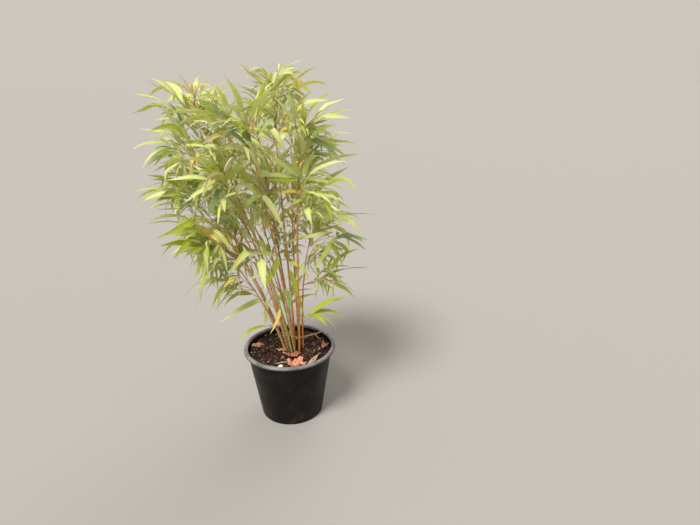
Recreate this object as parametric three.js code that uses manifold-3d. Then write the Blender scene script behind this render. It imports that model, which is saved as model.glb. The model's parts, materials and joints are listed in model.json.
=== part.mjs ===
// A young clumping bamboo in a round black nursery pot. Millimetres, +Z up.
// The origin is the centre of the pot's flat underside. Seen from -Y, the clump leans to -X.
import * as THREE from "three";
import { mergeVertices } from "three/addons/utils/BufferGeometryUtils.js";
import Module from "manifold-3d";

const wasm = await Module();
wasm.setup();

// Clearances.
const SEAT_GAP = 0.3;
const LIMB_CLEARANCE = 1;
const SPACE_MARGIN = 5;

// The seed of every random draw, the steps that mix it, and the first key of each kind of piece.
const SEED = 20417;
const KEY_FACTOR = 0x85ebca6b;
const KEY_STEP = 0x27d4eb2f;
const DRAW_STEP = 0x6d2b79f5;
const CANE_KEY = 571;
const END_KEY = 60;
const FOLIAGE_KEY = 100;
const SPRAY_KEY = 300;
const COMPOST_KEY = 900;

// The pot: a tapering wall under a rolled rim, with drainage holes round its floor.
const POT_HEIGHT = 183;
const RIM_RADIUS = 112.5;
const RIM_WIDTH = 9.5;
const RIM_DROP = 8;
const RIM_ROUND = 2.2;
const WALL_TOP_RADIUS = 104;
const BASE_RADIUS = 77.5;
const BASE_ROUND = 2;
const WALL = 1.6;
const FLOOR = 2.4;
const POT_SIDES = 40;
const DRAIN_COUNT = 8;
const DRAIN_RADIUS = 6.5;
const DRAIN_RING_RADIUS = 58;
const DRAIN_SIDES = 8;

// The compost: it fills the pot to a little under the rim, level where the canes stand.
const SOIL_TOP = 167;
const SOIL_LEVEL_RADIUS = 62;
const SOIL_RING_SHARE = 0.55;
const SOIL_LUMP = 2.2;

// The canes: they rise from one small clump, the inner ones tall, the outer ones short and leaning out.
const CANE_COUNT = 16;
const CANE_SIDES = 6;
const CLUMP_CENTRE_X = 8;
const CLUMP_HALF_WIDTH = 27;
const CLUMP_HALF_DEPTH = 20;
const GOLDEN_TURN = Math.PI * (3 - Math.sqrt(5));
const FIRST_TURN = 0.4;
const TALLEST_CANE = 680;
const SHORTEST_CANE = 290;
const CANE_LENGTH_JITTER = 0.07;
const CANE_RADIUS_TALL = 2.9;
const CANE_RADIUS_SHORT = 1.9;
const CANE_TIP_RADIUS = 1.3;
const FOOT_FLARE = 1.25;
const FOOT_HEIGHT = 9;
const JOINTS_TALL = 11;
const JOINTS_SHORT = 7;
const BARE_SHARE = 0.4;
const FOOT_TILT = 1;
const FOOT_SPREAD = 11;
const FOOT_TILT_JITTER = 4.5;
const FOOT_TURN_JITTER = 26;
const ARCH_INNER = 16;
const ARCH_OUTER = 36;
const LEAN = new THREE.Vector3(-0.12, 0.03, 0);
const LEAN_GROWTH = 1.6;
const NODE_SWELLING = 0.5;
const NODE_HALF_HEIGHT = 2.2;
const ZIGZAG = 1.4;

// The foliage: at each joint of a cane's leafy top stand twigs, and each twig carries a fan of leaves.
const STEM_SIDES = 4;
const TWIG_SIDES = 3;
const TWIGS_PER_JOINT = 2;
const TWIG_TRIES = 14;
const TWIG_LENGTH_LOW = 86;
const TWIG_LENGTH_TOP = 38;
const TWIG_LENGTH_LEAST = 0.6;
const TWIG_LENGTH_MOST = 1.1;
const TWIG_ANGLE = 46;
const TWIG_ANGLE_LESS = 12;
const TWIG_ANGLE_MORE = 22;
const TWIG_SWING_LEAST = 8;
const TWIG_SWING_MOST = 100;
const TWIG_SWING_STEP = 8;
const TWIG_RADIUS = 1.2;
const TWIG_END_RADIUS = 1.1;
const TWIG_FREE_FROM = 0.3;
const LEAVES_PER_TWIG = 5;
const LEAVES_FROM = 0.42;
const LEAVES_TO = 0.97;
const LEAVES_AT_TOP = 6;
const TOP_LEAVES_FROM = 0.75;
const TOP_RISE_LOW = 20;
const TOP_RISE_HIGH = 62;
const FEWEST_LEAVES = 3;
const LEAF_TRIES = 10;
const LEAF_LENGTH = 98;
const LEAF_LENGTH_SPREAD = 24;
const LEAF_WIDTH_SHARE = 0.13;
const LEAF_SHOULDER = 0.38;
const LEAF_ROOT_DEPTH = 0.2;
const LEAF_ROOT_THICKNESS = 1;
const LEAF_THICKNESS = 1.5;
const LEAF_FIRST_SIZE = 0.8;
const LEAF_LAST_SIZE = 1.05;
const LEAF_FAN_ANGLE = 48;
const LEAF_FAN_JITTER = 18;
const LEAF_STEEPEST = 69;
const LEAF_RISE_DOWN = 38;
const LEAF_RISE_UP = 14;
const LEAF_DROOP_LEAST = 14;
const LEAF_DROOP_MOST = 58;
const LEAF_ROLL = 28;
const LEAF_SPACING = 9;
const LOWEST_LEAF = POT_HEIGHT + 4;

// Low side sprays: each stands at a joint of the outermost cane in its heading, in degrees,
// within a window of heights over the compost.
const SPRAY_REACH = 36;
const SPRAY_WINDOW = 26;
const SPRAY_FAN = [-1, 1, -0.6, 0.6, 0];
const LOW_SPRAYS = [
  { name: "low_spray_left", heading: 186, height: 130, rise: 34 },
  { name: "low_spray_front", heading: 250, height: 90, rise: 34 },
  { name: "low_spray_right", heading: 335, height: 100, rise: 34 },
  { name: "low_spray_back", heading: 80, height: 100, rise: 34 },
];

const UP = new THREE.Vector3(0, 0, 1);
const radians = THREE.MathUtils.degToRad;
const mix = THREE.MathUtils.lerp;
const clamp = THREE.MathUtils.clamp;
const numbered = (name, index) => name + "_" + String(index + 1).padStart(2, "0");

const finish = (color, roughness) => new THREE.MeshStandardMaterial({ color, roughness, metalness: 0 });
const POT_PLASTIC = finish(0x1d1c1f, 0.55);
const COMPOST = finish(0x2c1f19, 0.95);
const CANE_SKIN = finish(0xa8713a, 0.5);
const LEAF_GREEN = finish(0x8aa63c, 0.5);

// Repeatable random numbers from 0 to 1, one stream for each set of whole-number keys.
function draws(...keys) {
  let state = keys.reduce((sum, key) => Math.imul(sum ^ (key + 1), KEY_FACTOR) + KEY_STEP, SEED) >>> 0;
  return () => {
    state = (state + DRAW_STEP) | 0;
    let mixed = Math.imul(state ^ (state >>> 15), 1 | state);
    mixed = (mixed + Math.imul(mixed ^ (mixed >>> 7), 61 | mixed)) ^ mixed;
    return ((mixed ^ (mixed >>> 14)) >>> 0) / 4294967296;
  };
}

const between = (random, low, high) => low + (high - low) * random();

// A direction from a heading round +Z and a rise above the level, in radians.
function pointing(heading, rise) {
  return new THREE.Vector3(
    Math.cos(heading) * Math.cos(rise),
    Math.sin(heading) * Math.cos(rise),
    Math.sin(rise),
  );
}

// A closed geometry from points and outward-facing triangles.
function closedGeometry(points, triangles) {
  const positions = new Float32Array(points.flatMap((p) => [p.x, p.y, p.z]));
  const geometry = new THREE.BufferGeometry();
  geometry.setAttribute("position", new THREE.BufferAttribute(positions, 3));
  geometry.setIndex(triangles.flat());
  return geometry;
}

function solidOf(geometry) {
  const bare = geometry.clone();
  bare.deleteAttribute("normal");
  bare.deleteAttribute("uv");
  const merged = mergeVertices(bare, 1e-4);
  return new wasm.Manifold(
    new wasm.Mesh({
      numProp: 3,
      vertProperties: merged.attributes.position.array,
      triVerts: new Uint32Array(merged.index.array),
    }),
  );
}

function geometryOf(solid) {
  const mesh = solid.getMesh();
  const geometry = new THREE.BufferGeometry();
  geometry.setAttribute("position", new THREE.BufferAttribute(mesh.vertProperties, 3));
  geometry.setIndex(new THREE.BufferAttribute(mesh.triVerts, 1));
  return geometry;
}

function namedMesh(name, geometry, material) {
  const mesh = new THREE.Mesh(geometry, material);
  mesh.name = name;
  return mesh;
}

// A limb of flat faces along rings, each {centre, normal, radius}, closed by a fan at both ends.
function limbGeometry(rings, sides) {
  const along = rings.at(-1).centre.clone().sub(rings[0].centre).normalize();
  const reference = Math.abs(along.z) < 0.8 ? UP : new THREE.Vector3(1, 0, 0);
  const points = [];
  for (const ring of rings) {
    const across = new THREE.Vector3().crossVectors(ring.normal, reference).normalize();
    const beside = new THREE.Vector3().crossVectors(ring.normal, across);
    for (let k = 0; k < sides; k++) {
      const turn = (2 * Math.PI * k) / sides;
      points.push(
        ring.centre
          .clone()
          .addScaledVector(across, ring.radius * Math.cos(turn))
          .addScaledVector(beside, ring.radius * Math.sin(turn)),
      );
    }
  }
  const triangles = [];
  for (let r = 0; r + 1 < rings.length; r++) {
    for (let k = 0; k < sides; k++) {
      const a = r * sides + k;
      const b = r * sides + ((k + 1) % sides);
      triangles.push([a, b, b + sides], [a, b + sides, a + sides]);
    }
  }
  const last = (rings.length - 1) * sides;
  for (let k = 1; k + 1 < sides; k++) {
    triangles.push([0, k + 1, k], [last, last + k, last + k + 1]);
  }
  return closedGeometry(points, triangles);
}

// The pot: a lathe of the wall, rolled rim and floor, less the drainage holes.
function potGeometry() {
  const innerTop = WALL_TOP_RADIUS - WALL;
  const rimMiddle = POT_HEIGHT - RIM_DROP / 2;
  const profile = [
    [0, 0],
    [BASE_RADIUS - BASE_ROUND, 0],
    [BASE_RADIUS, BASE_ROUND],
    [WALL_TOP_RADIUS, POT_HEIGHT - RIM_DROP],
    [RIM_RADIUS - RIM_ROUND, POT_HEIGHT - RIM_DROP],
    [RIM_RADIUS, rimMiddle],
    [RIM_RADIUS - RIM_ROUND, POT_HEIGHT - RIM_ROUND / 2],
    [RIM_RADIUS - RIM_WIDTH / 2, POT_HEIGHT],
    [RIM_RADIUS - RIM_WIDTH + RIM_ROUND / 2, POT_HEIGHT - RIM_ROUND / 2],
    [innerTop, POT_HEIGHT - RIM_DROP],
    [BASE_RADIUS - WALL, FLOOR + BASE_ROUND],
    [BASE_RADIUS - WALL - BASE_ROUND, FLOOR],
    [0, FLOOR],
  ].map(([radius, height]) => new THREE.Vector2(radius, height));
  let pot = solidOf(new THREE.LatheGeometry(profile, POT_SIDES).rotateX(Math.PI / 2));
  for (let k = 0; k < DRAIN_COUNT; k++) {
    const turn = (2 * Math.PI * (k + 0.5)) / DRAIN_COUNT;
    const hole = new THREE.CylinderGeometry(DRAIN_RADIUS, DRAIN_RADIUS, 4 * FLOOR, DRAIN_SIDES)
      .rotateX(Math.PI / 2)
      .translate(DRAIN_RING_RADIUS * Math.cos(turn), DRAIN_RING_RADIUS * Math.sin(turn), 0);
    pot = pot.subtract(solidOf(hole));
  }
  return geometryOf(pot);
}

// The pot's inner wall radius at a height.
function innerRadius(height) {
  const share = (height - BASE_ROUND) / (POT_HEIGHT - RIM_DROP - BASE_ROUND);
  return mix(BASE_RADIUS, WALL_TOP_RADIUS, share) - WALL;
}

// The compost: the pot's inside less a seat gap, with a lumpy top outside its level middle.
function compostGeometry() {
  const bottom = FLOOR + SEAT_GAP;
  const corner = bottom + BASE_ROUND;
  const sideGap = 2 * SEAT_GAP;
  const edge = innerRadius(SOIL_TOP - SOIL_LUMP) - sideGap;
  const profile = [
    [0, bottom],
    [BASE_RADIUS - WALL - BASE_ROUND - sideGap, bottom],
    [innerRadius(corner) - sideGap, corner],
    [edge, SOIL_TOP - SOIL_LUMP],
    [mix(SOIL_LEVEL_RADIUS, edge, SOIL_RING_SHARE), SOIL_TOP],
    [SOIL_LEVEL_RADIUS, SOIL_TOP],
    [0, SOIL_TOP],
  ].map(([radius, height]) => new THREE.Vector2(radius, height));
  const compost = geometryOf(solidOf(new THREE.LatheGeometry(profile, POT_SIDES).rotateX(Math.PI / 2)));
  const place = compost.getAttribute("position");
  for (let v = 0; v < place.count; v++) {
    const [x, y, z] = [place.getX(v), place.getY(v), place.getZ(v)];
    const sector = Math.round((Math.atan2(y, x) * POT_SIDES) / (2 * Math.PI));
    if (z > SOIL_TOP - 1 && Math.hypot(x, y) > SOIL_LEVEL_RADIUS + 1) {
      const random = draws(COMPOST_KEY, (sector + POT_SIDES) % POT_SIDES);
      place.setZ(v, SOIL_TOP + between(random, -SOIL_LUMP, SOIL_LUMP));
    }
  }
  return compost;
}

// One cane's joints from the foot up. bare counts the lengths between joints below the leaves.
function growCane(index) {
  const random = draws(CANE_KEY, index);
  const share = (index + 0.5) / CANE_COUNT;
  const out = Math.sqrt(share);
  const turn = FIRST_TURN + index * GOLDEN_TURN;
  const foot = new THREE.Vector3(
    CLUMP_CENTRE_X + CLUMP_HALF_WIDTH * out * Math.cos(turn),
    CLUMP_HALF_DEPTH * out * Math.sin(turn),
    SOIL_TOP + SEAT_GAP,
  );
  const jitter = 1 + between(random, -CANE_LENGTH_JITTER, CANE_LENGTH_JITTER);
  const length = mix(TALLEST_CANE, SHORTEST_CANE, share) * jitter;
  const footTilt = FOOT_TILT + FOOT_SPREAD * out;
  const tiltJitter = between(random, -FOOT_TILT_JITTER, FOOT_TILT_JITTER);
  const turnJitter = between(random, -FOOT_TURN_JITTER, FOOT_TURN_JITTER);
  const count = Math.round(mix(JOINTS_TALL, JOINTS_SHORT, share));
  const arch = mix(ARCH_INNER, ARCH_OUTER, share);
  const footRadius = mix(CANE_RADIUS_TALL, CANE_RADIUS_SHORT, share);
  const weights = Array.from({ length: count }, (_, k) => 0.75 + Math.sin((Math.PI * (k + 0.7)) / count));
  const weightSum = weights.reduce((sum, weight) => sum + weight, 0);
  const points = [foot];
  const directions = [];
  const radii = [footRadius];
  for (let k = 0; k < count; k++) {
    const up = (k + 0.5) / count;
    const tilt = radians(footTilt + tiltJitter * (1 - up) + arch * up * up);
    const swing = radians(turnJitter * (1 - up) + (k % 2 ? ZIGZAG : -ZIGZAG));
    const direction = pointing(turn + swing, Math.PI / 2 - tilt)
      .addScaledVector(LEAN, 1 + LEAN_GROWTH * up)
      .normalize();
    directions.push(direction);
    points.push(points[k].clone().addScaledVector(direction, (length * weights[k]) / weightSum));
    radii.push(mix(footRadius, CANE_TIP_RADIUS, (k + 1) / count));
  }
  const bare = Math.round(count * BARE_SHARE);
  return { name: numbered("cane", index), index, turn, points, directions, radii, bare };
}

// The bare part of a cane as one tapering limb, swollen at its joints, with a flat cut at the foot.
function caneGeometry({ points, directions, radii, bare }) {
  const flareTop = points[0].clone().addScaledVector(directions[0], FOOT_HEIGHT);
  const rings = [
    { centre: points[0], normal: UP, radius: radii[0] * FOOT_FLARE },
    { centre: flareTop, normal: directions[0], radius: radii[0] },
  ];
  for (let k = 1; k < bare; k++) {
    const bisector = directions[k - 1].clone().add(directions[k]).normalize();
    const below = points[k].clone().addScaledVector(directions[k - 1], -NODE_HALF_HEIGHT);
    const above = points[k].clone().addScaledVector(directions[k], NODE_HALF_HEIGHT);
    rings.push({ centre: below, normal: directions[k - 1], radius: radii[k] });
    rings.push({ centre: points[k], normal: bisector, radius: radii[k] + NODE_SWELLING });
    rings.push({ centre: above, normal: directions[k], radius: radii[k] });
  }
  const end = points[bare].clone().addScaledVector(directions[bare], -SEAT_GAP / 2);
  rings.push({ centre: end, normal: directions[bare], radius: radii[bare] });
  return limbGeometry(rings, CANE_SIDES);
}

// The straight pieces of a line of points, each {start, end, radius}.
function piecesOf(points, radii) {
  return points.slice(1).map((end, k) => ({ start: points[k], end, radius: radii[k] }));
}

// The distance between two straight pieces.
function gapBetween(a, b) {
  const u = a.end.clone().sub(a.start);
  const v = b.end.clone().sub(b.start);
  const w = a.start.clone().sub(b.start);
  const [uu, uv, vv, uw, vw] = [u.dot(u), u.dot(v), v.dot(v), u.dot(w), v.dot(w)];
  const slant = uu * vv - uv * uv;
  const first = slant > 1e-9 ? clamp((uv * vw - vv * uw) / slant, 0, 1) : 0;
  const t = clamp((uv * first + vw) / vv, 0, 1);
  const s = clamp((uv * t - uw) / uu, 0, 1);
  return w.addScaledVector(u, s).addScaledVector(v, -t).length();
}

// The distance from a point to the nearest of some straight pieces.
function distanceTo(pieces, point) {
  return Math.min(...pieces.map(({ start, end }) => {
    const along = end.clone().sub(start);
    const t = clamp(point.clone().sub(start).dot(along) / along.dot(along), 0, 1);
    return start.clone().addScaledVector(along, t).distanceTo(point);
  }));
}

// A leaf's corners: a blade that is widest at its shoulder and bends down beyond it.
function leafCorners(root, direction, length, droop, roll) {
  const level = new THREE.Vector3().crossVectors(direction, UP).normalize();
  const top = new THREE.Vector3().crossVectors(level, direction);
  const side = level.clone().multiplyScalar(Math.cos(roll)).addScaledVector(top, Math.sin(roll));
  const face = top.clone().multiplyScalar(Math.cos(roll)).addScaledVector(level, -Math.sin(roll));
  const halfWidth = (length * LEAF_WIDTH_SHARE) / 2;
  const shoulder = root.clone().addScaledVector(direction, length * LEAF_SHOULDER);
  const onward = direction.clone().multiplyScalar(Math.cos(droop)).addScaledVector(top, -Math.sin(droop));
  return {
    root,
    shoulder,
    halfWidth,
    rootTop: root.clone().addScaledVector(face, LEAF_ROOT_THICKNESS / 2),
    rootBottom: root.clone().addScaledVector(face, -LEAF_ROOT_THICKNESS / 2),
    right: shoulder.clone().addScaledVector(side, halfWidth),
    left: shoulder.clone().addScaledVector(side, -halfWidth),
    ridge: shoulder.clone().addScaledVector(face, LEAF_THICKNESS),
    tip: shoulder.clone().addScaledVector(onward, length * (1 - LEAF_SHOULDER)),
  };
}

function leafSolid(leaf) {
  const corners = [leaf.rootTop, leaf.rootBottom, leaf.right, leaf.left, leaf.ridge, leaf.tip];
  return solidOf(
    closedGeometry(corners, [
      [0, 2, 4],
      [0, 4, 3],
      [4, 2, 5],
      [4, 5, 3],
      [1, 3, 2],
      [5, 2, 3],
      [0, 3, 1],
      [0, 1, 2],
    ]),
  );
}

// The rib of a leaf as two straight pieces, from a little past its root.
function ribOf(leaf) {
  const start = leaf.root.clone().lerp(leaf.shoulder, 0.5);
  return [
    { start, end: leaf.shoulder, radius: leaf.halfWidth },
    { start: leaf.shoulder, end: leaf.tip, radius: leaf.halfWidth },
  ];
}

// Whether some points lie in a mass's own space: over the pot, and nearer to its stem than to any other.
function inOwnSpace(points, own, others) {
  return points.every((point) => {
    if (point.z < LOWEST_LEAF) return false;
    const reach = distanceTo(own, point) + SPACE_MARGIN;
    return others.every((pieces) => distanceTo(pieces, point) > reach);
  });
}

function clearOf(pieces, solids, clearance) {
  return pieces.every((piece) => solids.every((solid) =>
    gapBetween(piece, solid) > piece.radius + solid.radius + clearance));
}

function leafIsFree(leaf, place) {
  const { left, right, ridge, tip, shoulder } = leaf;
  const bladePoints = [1 / 3, 2 / 3].map((share) => shoulder.clone().lerp(tip, share));
  const rib = ribOf(leaf);
  const farFrom = (pieces, gap) => rib.every((a) => pieces.every((b) => gapBetween(a, b) > gap));
  return inOwnSpace([left, right, ridge, tip, ...bladePoints], place.own, place.others) &&
    clearOf(rib, place.limbs, LIMB_CLEARANCE) &&
    farFrom(place.leaves.flatMap(ribOf), LEAF_SPACING) &&
    farFrom(place.twigs, LEAF_SPACING / 2);
}

// One leaf, drawn anew a few times until it is free, or null.
function growLeaf(keys, root, heading, rise, size, place) {
  for (let attempt = 0; attempt < LEAF_TRIES; attempt++) {
    const random = draws(...keys, attempt);
    const turned = heading + radians(between(random, -LEAF_FAN_JITTER, LEAF_FAN_JITTER));
    const raised = rise + radians(between(random, -LEAF_RISE_DOWN, LEAF_RISE_UP));
    const direction = pointing(turned, clamp(raised, -radians(LEAF_STEEPEST), radians(LEAF_STEEPEST)));
    const length = size * (LEAF_LENGTH + between(random, -LEAF_LENGTH_SPREAD, LEAF_LENGTH_SPREAD));
    const droop = radians(between(random, LEAF_DROOP_LEAST, LEAF_DROOP_MOST));
    const roll = radians(between(random, -LEAF_ROLL, LEAF_ROLL));
    const sunk = root.clone().addScaledVector(direction, -LEAF_ROOT_DEPTH);
    const leaf = leafCorners(sunk, direction, length, droop, roll);
    if (leafIsFree(leaf, place)) return leaf;
  }
  return null;
}

// One straight twig with leaves to both sides in turn and one at its end, or null.
function growTwig(keys, root, heading, rise, length, place) {
  const direction = pointing(heading, rise);
  const end = root.clone().addScaledVector(direction, length);
  const twig = { start: root, end, radius: TWIG_RADIUS };
  const outer = { ...twig, start: root.clone().lerp(end, TWIG_FREE_FROM) };
  const farFrom = (pieces, gap) => pieces.every((piece) => gapBetween(outer, piece) > gap);
  const free = inOwnSpace([end, outer.start], place.own, place.others) &&
    clearOf([twig], place.limbs, LIMB_CLEARANCE) &&
    farFrom(place.twigs, LEAF_SPACING / 2) &&
    farFrom(place.leaves.flatMap(ribOf), LEAF_SPACING);
  if (!free) return null;
  const grown = { ...place, leaves: [...place.leaves] };
  for (let k = 0; k < LEAVES_PER_TWIG; k++) {
    const last = k === LEAVES_PER_TWIG - 1;
    const up = mix(LEAVES_FROM, LEAVES_TO, k / (LEAVES_PER_TWIG - 1));
    const fan = last ? 0 : radians(LEAF_FAN_ANGLE) * (k % 2 ? 1 : -1);
    const size = mix(LEAF_FIRST_SIZE, LEAF_LAST_SIZE, up);
    const leaf = growLeaf([...keys, k], root.clone().lerp(end, up), heading + fan, rise, size, grown);
    if (leaf) grown.leaves.push(leaf);
  }
  const leaves = grown.leaves.slice(place.leaves.length);
  if (leaves.length < FEWEST_LEAVES) return null;
  const rings = [
    { centre: root, normal: direction, radius: TWIG_RADIUS },
    { centre: end, normal: direction, radius: TWIG_END_RADIUS },
  ];
  return { outer, rings, leaves };
}

// The stem of a cane's leafy top: it goes on from the cane's cut end.
function stemOfCane(cane) {
  const { index, points, directions, radii, bare } = cane;
  const start = points[bare].clone().addScaledVector(directions[bare], SEAT_GAP / 2);
  return {
    name: numbered("foliage", index),
    key: FOLIAGE_KEY + index,
    points: [start, ...points.slice(bare + 1)],
    directions: directions.slice(bare),
    radii: radii.slice(bare),
    outward: cane.turn,
    top: true,
  };
}

// The stem of a low side spray: it starts just clear of a joint, on the outermost cane in its heading.
function stemOfSpray(spray, canes, caneMeshes, index) {
  const heading = radians(spray.heading);
  const outward = pointing(heading, 0);
  const level = SOIL_TOP + spray.height;
  const joints = canes.flatMap((cane) => cane.points.slice(1, cane.bare).map((point, k) => ({
    point,
    axis: cane.directions[k + 1],
    mesh: caneMeshes[cane.index],
  })));
  const host = joints
    .filter(({ point }) => Math.abs(point.z - level) < SPRAY_WINDOW)
    .reduce((best, joint) => (joint.point.dot(outward) > best.point.dot(outward) ? joint : best));
  const direction = pointing(heading, radians(spray.rise));
  const outside = host.point.clone().addScaledVector(direction, SPRAY_REACH);
  const skin = new THREE.Raycaster(outside, direction.clone().negate()).intersectObject(host.mesh)[0].point;
  const along = Math.abs(direction.dot(host.axis));
  const across = new THREE.Vector3().crossVectors(direction, host.axis).length();
  const start = skin.addScaledVector(direction, (SEAT_GAP + TWIG_RADIUS * along) / across);
  return {
    name: spray.name,
    key: SPRAY_KEY + index,
    points: [start, start.clone().addScaledVector(direction, SPRAY_REACH)],
    directions: [direction],
    radii: [TWIG_RADIUS, TWIG_END_RADIUS],
    outward: heading,
    top: false,
  };
}

// Twigs in pairs up a stem, each drawn anew a few times until it finds free space.
function growTwigs(stem, place, woody) {
  const lastJoint = stem.points.length - 1;
  for (let joint = 1; joint < lastJoint; joint++) {
    for (let side = 0; side < TWIGS_PER_JOINT; side++) {
      for (let attempt = 0; attempt < TWIG_TRIES; attempt++) {
        const keys = [stem.key, joint, side, attempt];
        const random = draws(...keys);
        const swing = between(random, TWIG_SWING_LEAST, TWIG_SWING_MOST) + attempt * TWIG_SWING_STEP;
        const heading = stem.outward + radians(swing) * (side ? 1 : -1);
        const fromUpright = TWIG_ANGLE + between(random, -TWIG_ANGLE_LESS, TWIG_ANGLE_MORE);
        const fullLength = mix(TWIG_LENGTH_LOW, TWIG_LENGTH_TOP, joint / lastJoint);
        const length = fullLength * between(random, TWIG_LENGTH_LEAST, TWIG_LENGTH_MOST);
        const twig = growTwig(keys, stem.points[joint], heading, radians(90 - fromUpright), length, place);
        if (!twig) continue;
        woody.push(limbGeometry(twig.rings, TWIG_SIDES));
        place.twigs.push(twig.outer);
        place.leaves.push(...twig.leaves);
        break;
      }
    }
  }
}

// The leaves of a stem's own end: all round the top of a cane, or fanned to both sides of a low spray.
function growEnd(stem, place) {
  const [before, end] = stem.points.slice(-2);
  const rise = Math.asin(stem.directions.at(-1).z);
  const count = stem.top ? LEAVES_AT_TOP : LEAVES_PER_TWIG;
  for (let k = 0; k < count; k++) {
    const share = k / (count - 1);
    const root = before.clone().lerp(end, mix(stem.top ? TOP_LEAVES_FROM : LEAVES_FROM, LEAVES_TO, share));
    const turn = stem.top ? k * GOLDEN_TURN : radians(LEAF_FAN_ANGLE) * SPRAY_FAN[k];
    const leafRise = stem.top ? radians(mix(TOP_RISE_LOW, TOP_RISE_HIGH, share)) : rise;
    const leaf = growLeaf([stem.key, END_KEY, k], root, stem.outward + turn, leafRise, 1, place);
    if (leaf) place.leaves.push(leaf);
  }
}

// One mass: a stem, its twigs and their leaves, joined into one solid.
function growMass(stem, place) {
  const rings = stem.points.map((centre, k) => ({
    centre,
    normal: stem.directions[Math.min(k, stem.directions.length - 1)],
    radius: stem.radii[k],
  }));
  const woody = [limbGeometry(rings, STEM_SIDES)];
  growTwigs(stem, place, woody);
  growEnd(stem, place);
  const solids = [...woody.map(solidOf), ...place.leaves.map(leafSolid)];
  const bodies = solids.reduce((sum, solid) => sum.add(solid)).decompose();
  return bodies.reduce((largest, body) => (body.volume() > largest.volume() ? body : largest));
}

const plant = new THREE.Group();
plant.add(namedMesh("pot", potGeometry(), POT_PLASTIC));
plant.add(namedMesh("compost", compostGeometry(), COMPOST));

const canes = Array.from({ length: CANE_COUNT }, (_, index) => growCane(index));
const caneMeshes = canes.map((cane) => namedMesh(cane.name, caneGeometry(cane), CANE_SKIN));
plant.add(...caneMeshes);

const sprayStems = LOW_SPRAYS.map((spray, index) => stemOfSpray(spray, canes, caneMeshes, index));
const stems = [...canes.map(stemOfCane), ...sprayStems];
const stemPieces = stems.map((stem) => piecesOf(stem.points, stem.radii));
const limbs = canes.flatMap(({ points, radii, bare }) =>
  piecesOf(points.slice(0, bare + 1), radii.map((radius) => radius + NODE_SWELLING)));
stems.forEach((stem, index) => {
  const own = stemPieces[index];
  const others = stemPieces.filter((_, other) => other !== index);
  const place = { own, others, limbs, twigs: [], leaves: [] };
  plant.add(namedMesh(stem.name, geometryOf(growMass(stem, place)), LEAF_GREEN));
});

export default plant;
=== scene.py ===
"""The looks of a potted bamboo: a clump of thin canes with narrow leaves, in a round black nursery pot.

The plant grows here by the same seeded rule as the frame's solids, in millimetres, and is then carried on to
finer twigs and more leaves in the same space. Meshes are written in metres.
"""

import json
import logging
from collections.abc import Sequence
from dataclasses import dataclass, field, replace
from enum import Enum
from functools import cache
from math import asin, atan2, ceil, cos, floor, hypot, pi, radians, sin, sqrt
from typing import TypeVar

import bpy
import numpy as np
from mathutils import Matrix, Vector, noise
from mathutils.bvhtree import BVHTree

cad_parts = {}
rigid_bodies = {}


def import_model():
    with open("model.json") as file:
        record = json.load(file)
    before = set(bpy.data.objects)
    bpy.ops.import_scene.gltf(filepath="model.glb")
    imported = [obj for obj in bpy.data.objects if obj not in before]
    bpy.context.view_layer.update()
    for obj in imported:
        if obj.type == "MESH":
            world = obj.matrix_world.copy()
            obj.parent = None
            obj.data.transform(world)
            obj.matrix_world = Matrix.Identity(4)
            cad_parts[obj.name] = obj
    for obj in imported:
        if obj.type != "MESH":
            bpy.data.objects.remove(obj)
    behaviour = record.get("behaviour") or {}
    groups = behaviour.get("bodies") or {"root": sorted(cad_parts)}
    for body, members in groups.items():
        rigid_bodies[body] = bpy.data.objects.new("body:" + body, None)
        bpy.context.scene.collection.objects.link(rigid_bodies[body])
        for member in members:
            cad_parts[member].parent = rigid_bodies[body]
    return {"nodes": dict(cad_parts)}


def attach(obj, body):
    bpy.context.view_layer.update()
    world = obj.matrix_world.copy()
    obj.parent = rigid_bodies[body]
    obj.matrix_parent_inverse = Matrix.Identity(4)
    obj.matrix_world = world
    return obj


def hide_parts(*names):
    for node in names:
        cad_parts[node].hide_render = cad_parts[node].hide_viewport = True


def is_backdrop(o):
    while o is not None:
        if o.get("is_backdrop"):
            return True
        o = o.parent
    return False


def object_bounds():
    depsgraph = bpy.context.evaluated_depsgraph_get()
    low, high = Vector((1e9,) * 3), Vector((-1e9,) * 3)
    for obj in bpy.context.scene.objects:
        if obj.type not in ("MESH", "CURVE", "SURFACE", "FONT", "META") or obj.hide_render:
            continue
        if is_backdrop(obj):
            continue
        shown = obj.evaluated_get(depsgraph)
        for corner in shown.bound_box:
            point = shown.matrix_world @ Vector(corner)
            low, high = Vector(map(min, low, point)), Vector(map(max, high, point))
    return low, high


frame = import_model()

CAD_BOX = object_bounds()
BODY = "root"
MM = 0.001
UP = np.array([0.0, 0.0, 1.0])
GOLDEN_TURN = pi * (3 - sqrt(5))
VIEWER = np.array([150.2, -1107.4, 820.2])
Line = Sequence[np.ndarray]
Span = tuple[float, float]
Spot = tuple[float, float, float]
Keys = tuple[int, ...]
Socket = bpy.types.NodeSocket
Piece = bpy.types.Object
Material = bpy.types.Material
Kind = TypeVar("Kind")
log = logging.getLogger("potted_bamboo")


def mix(low: float, high: float, share: float) -> float:
    """A value between two, by share."""
    return low + (high - low) * share


def smooth(share: float) -> float:
    """A share from 0 to 1, eased at both ends and held outside them."""
    held = min(max(share, 0.0), 1.0)
    return held * held * (3 - 2 * held)


def unit(vector: np.ndarray) -> np.ndarray:
    """The vector at length 1."""
    return vector / sqrt(float(vector @ vector))


def pointing(heading: float, rise: float) -> np.ndarray:
    """The direction, at length 1, of a heading round +Z and a rise over the level, both in radians."""
    return np.array([cos(heading) * cos(rise), sin(heading) * cos(rise), sin(rise)])


def turns(count: int) -> list[float]:
    """Angles evenly round a circle, from 0."""
    return [2 * pi * k / count for k in range(count)]


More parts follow.
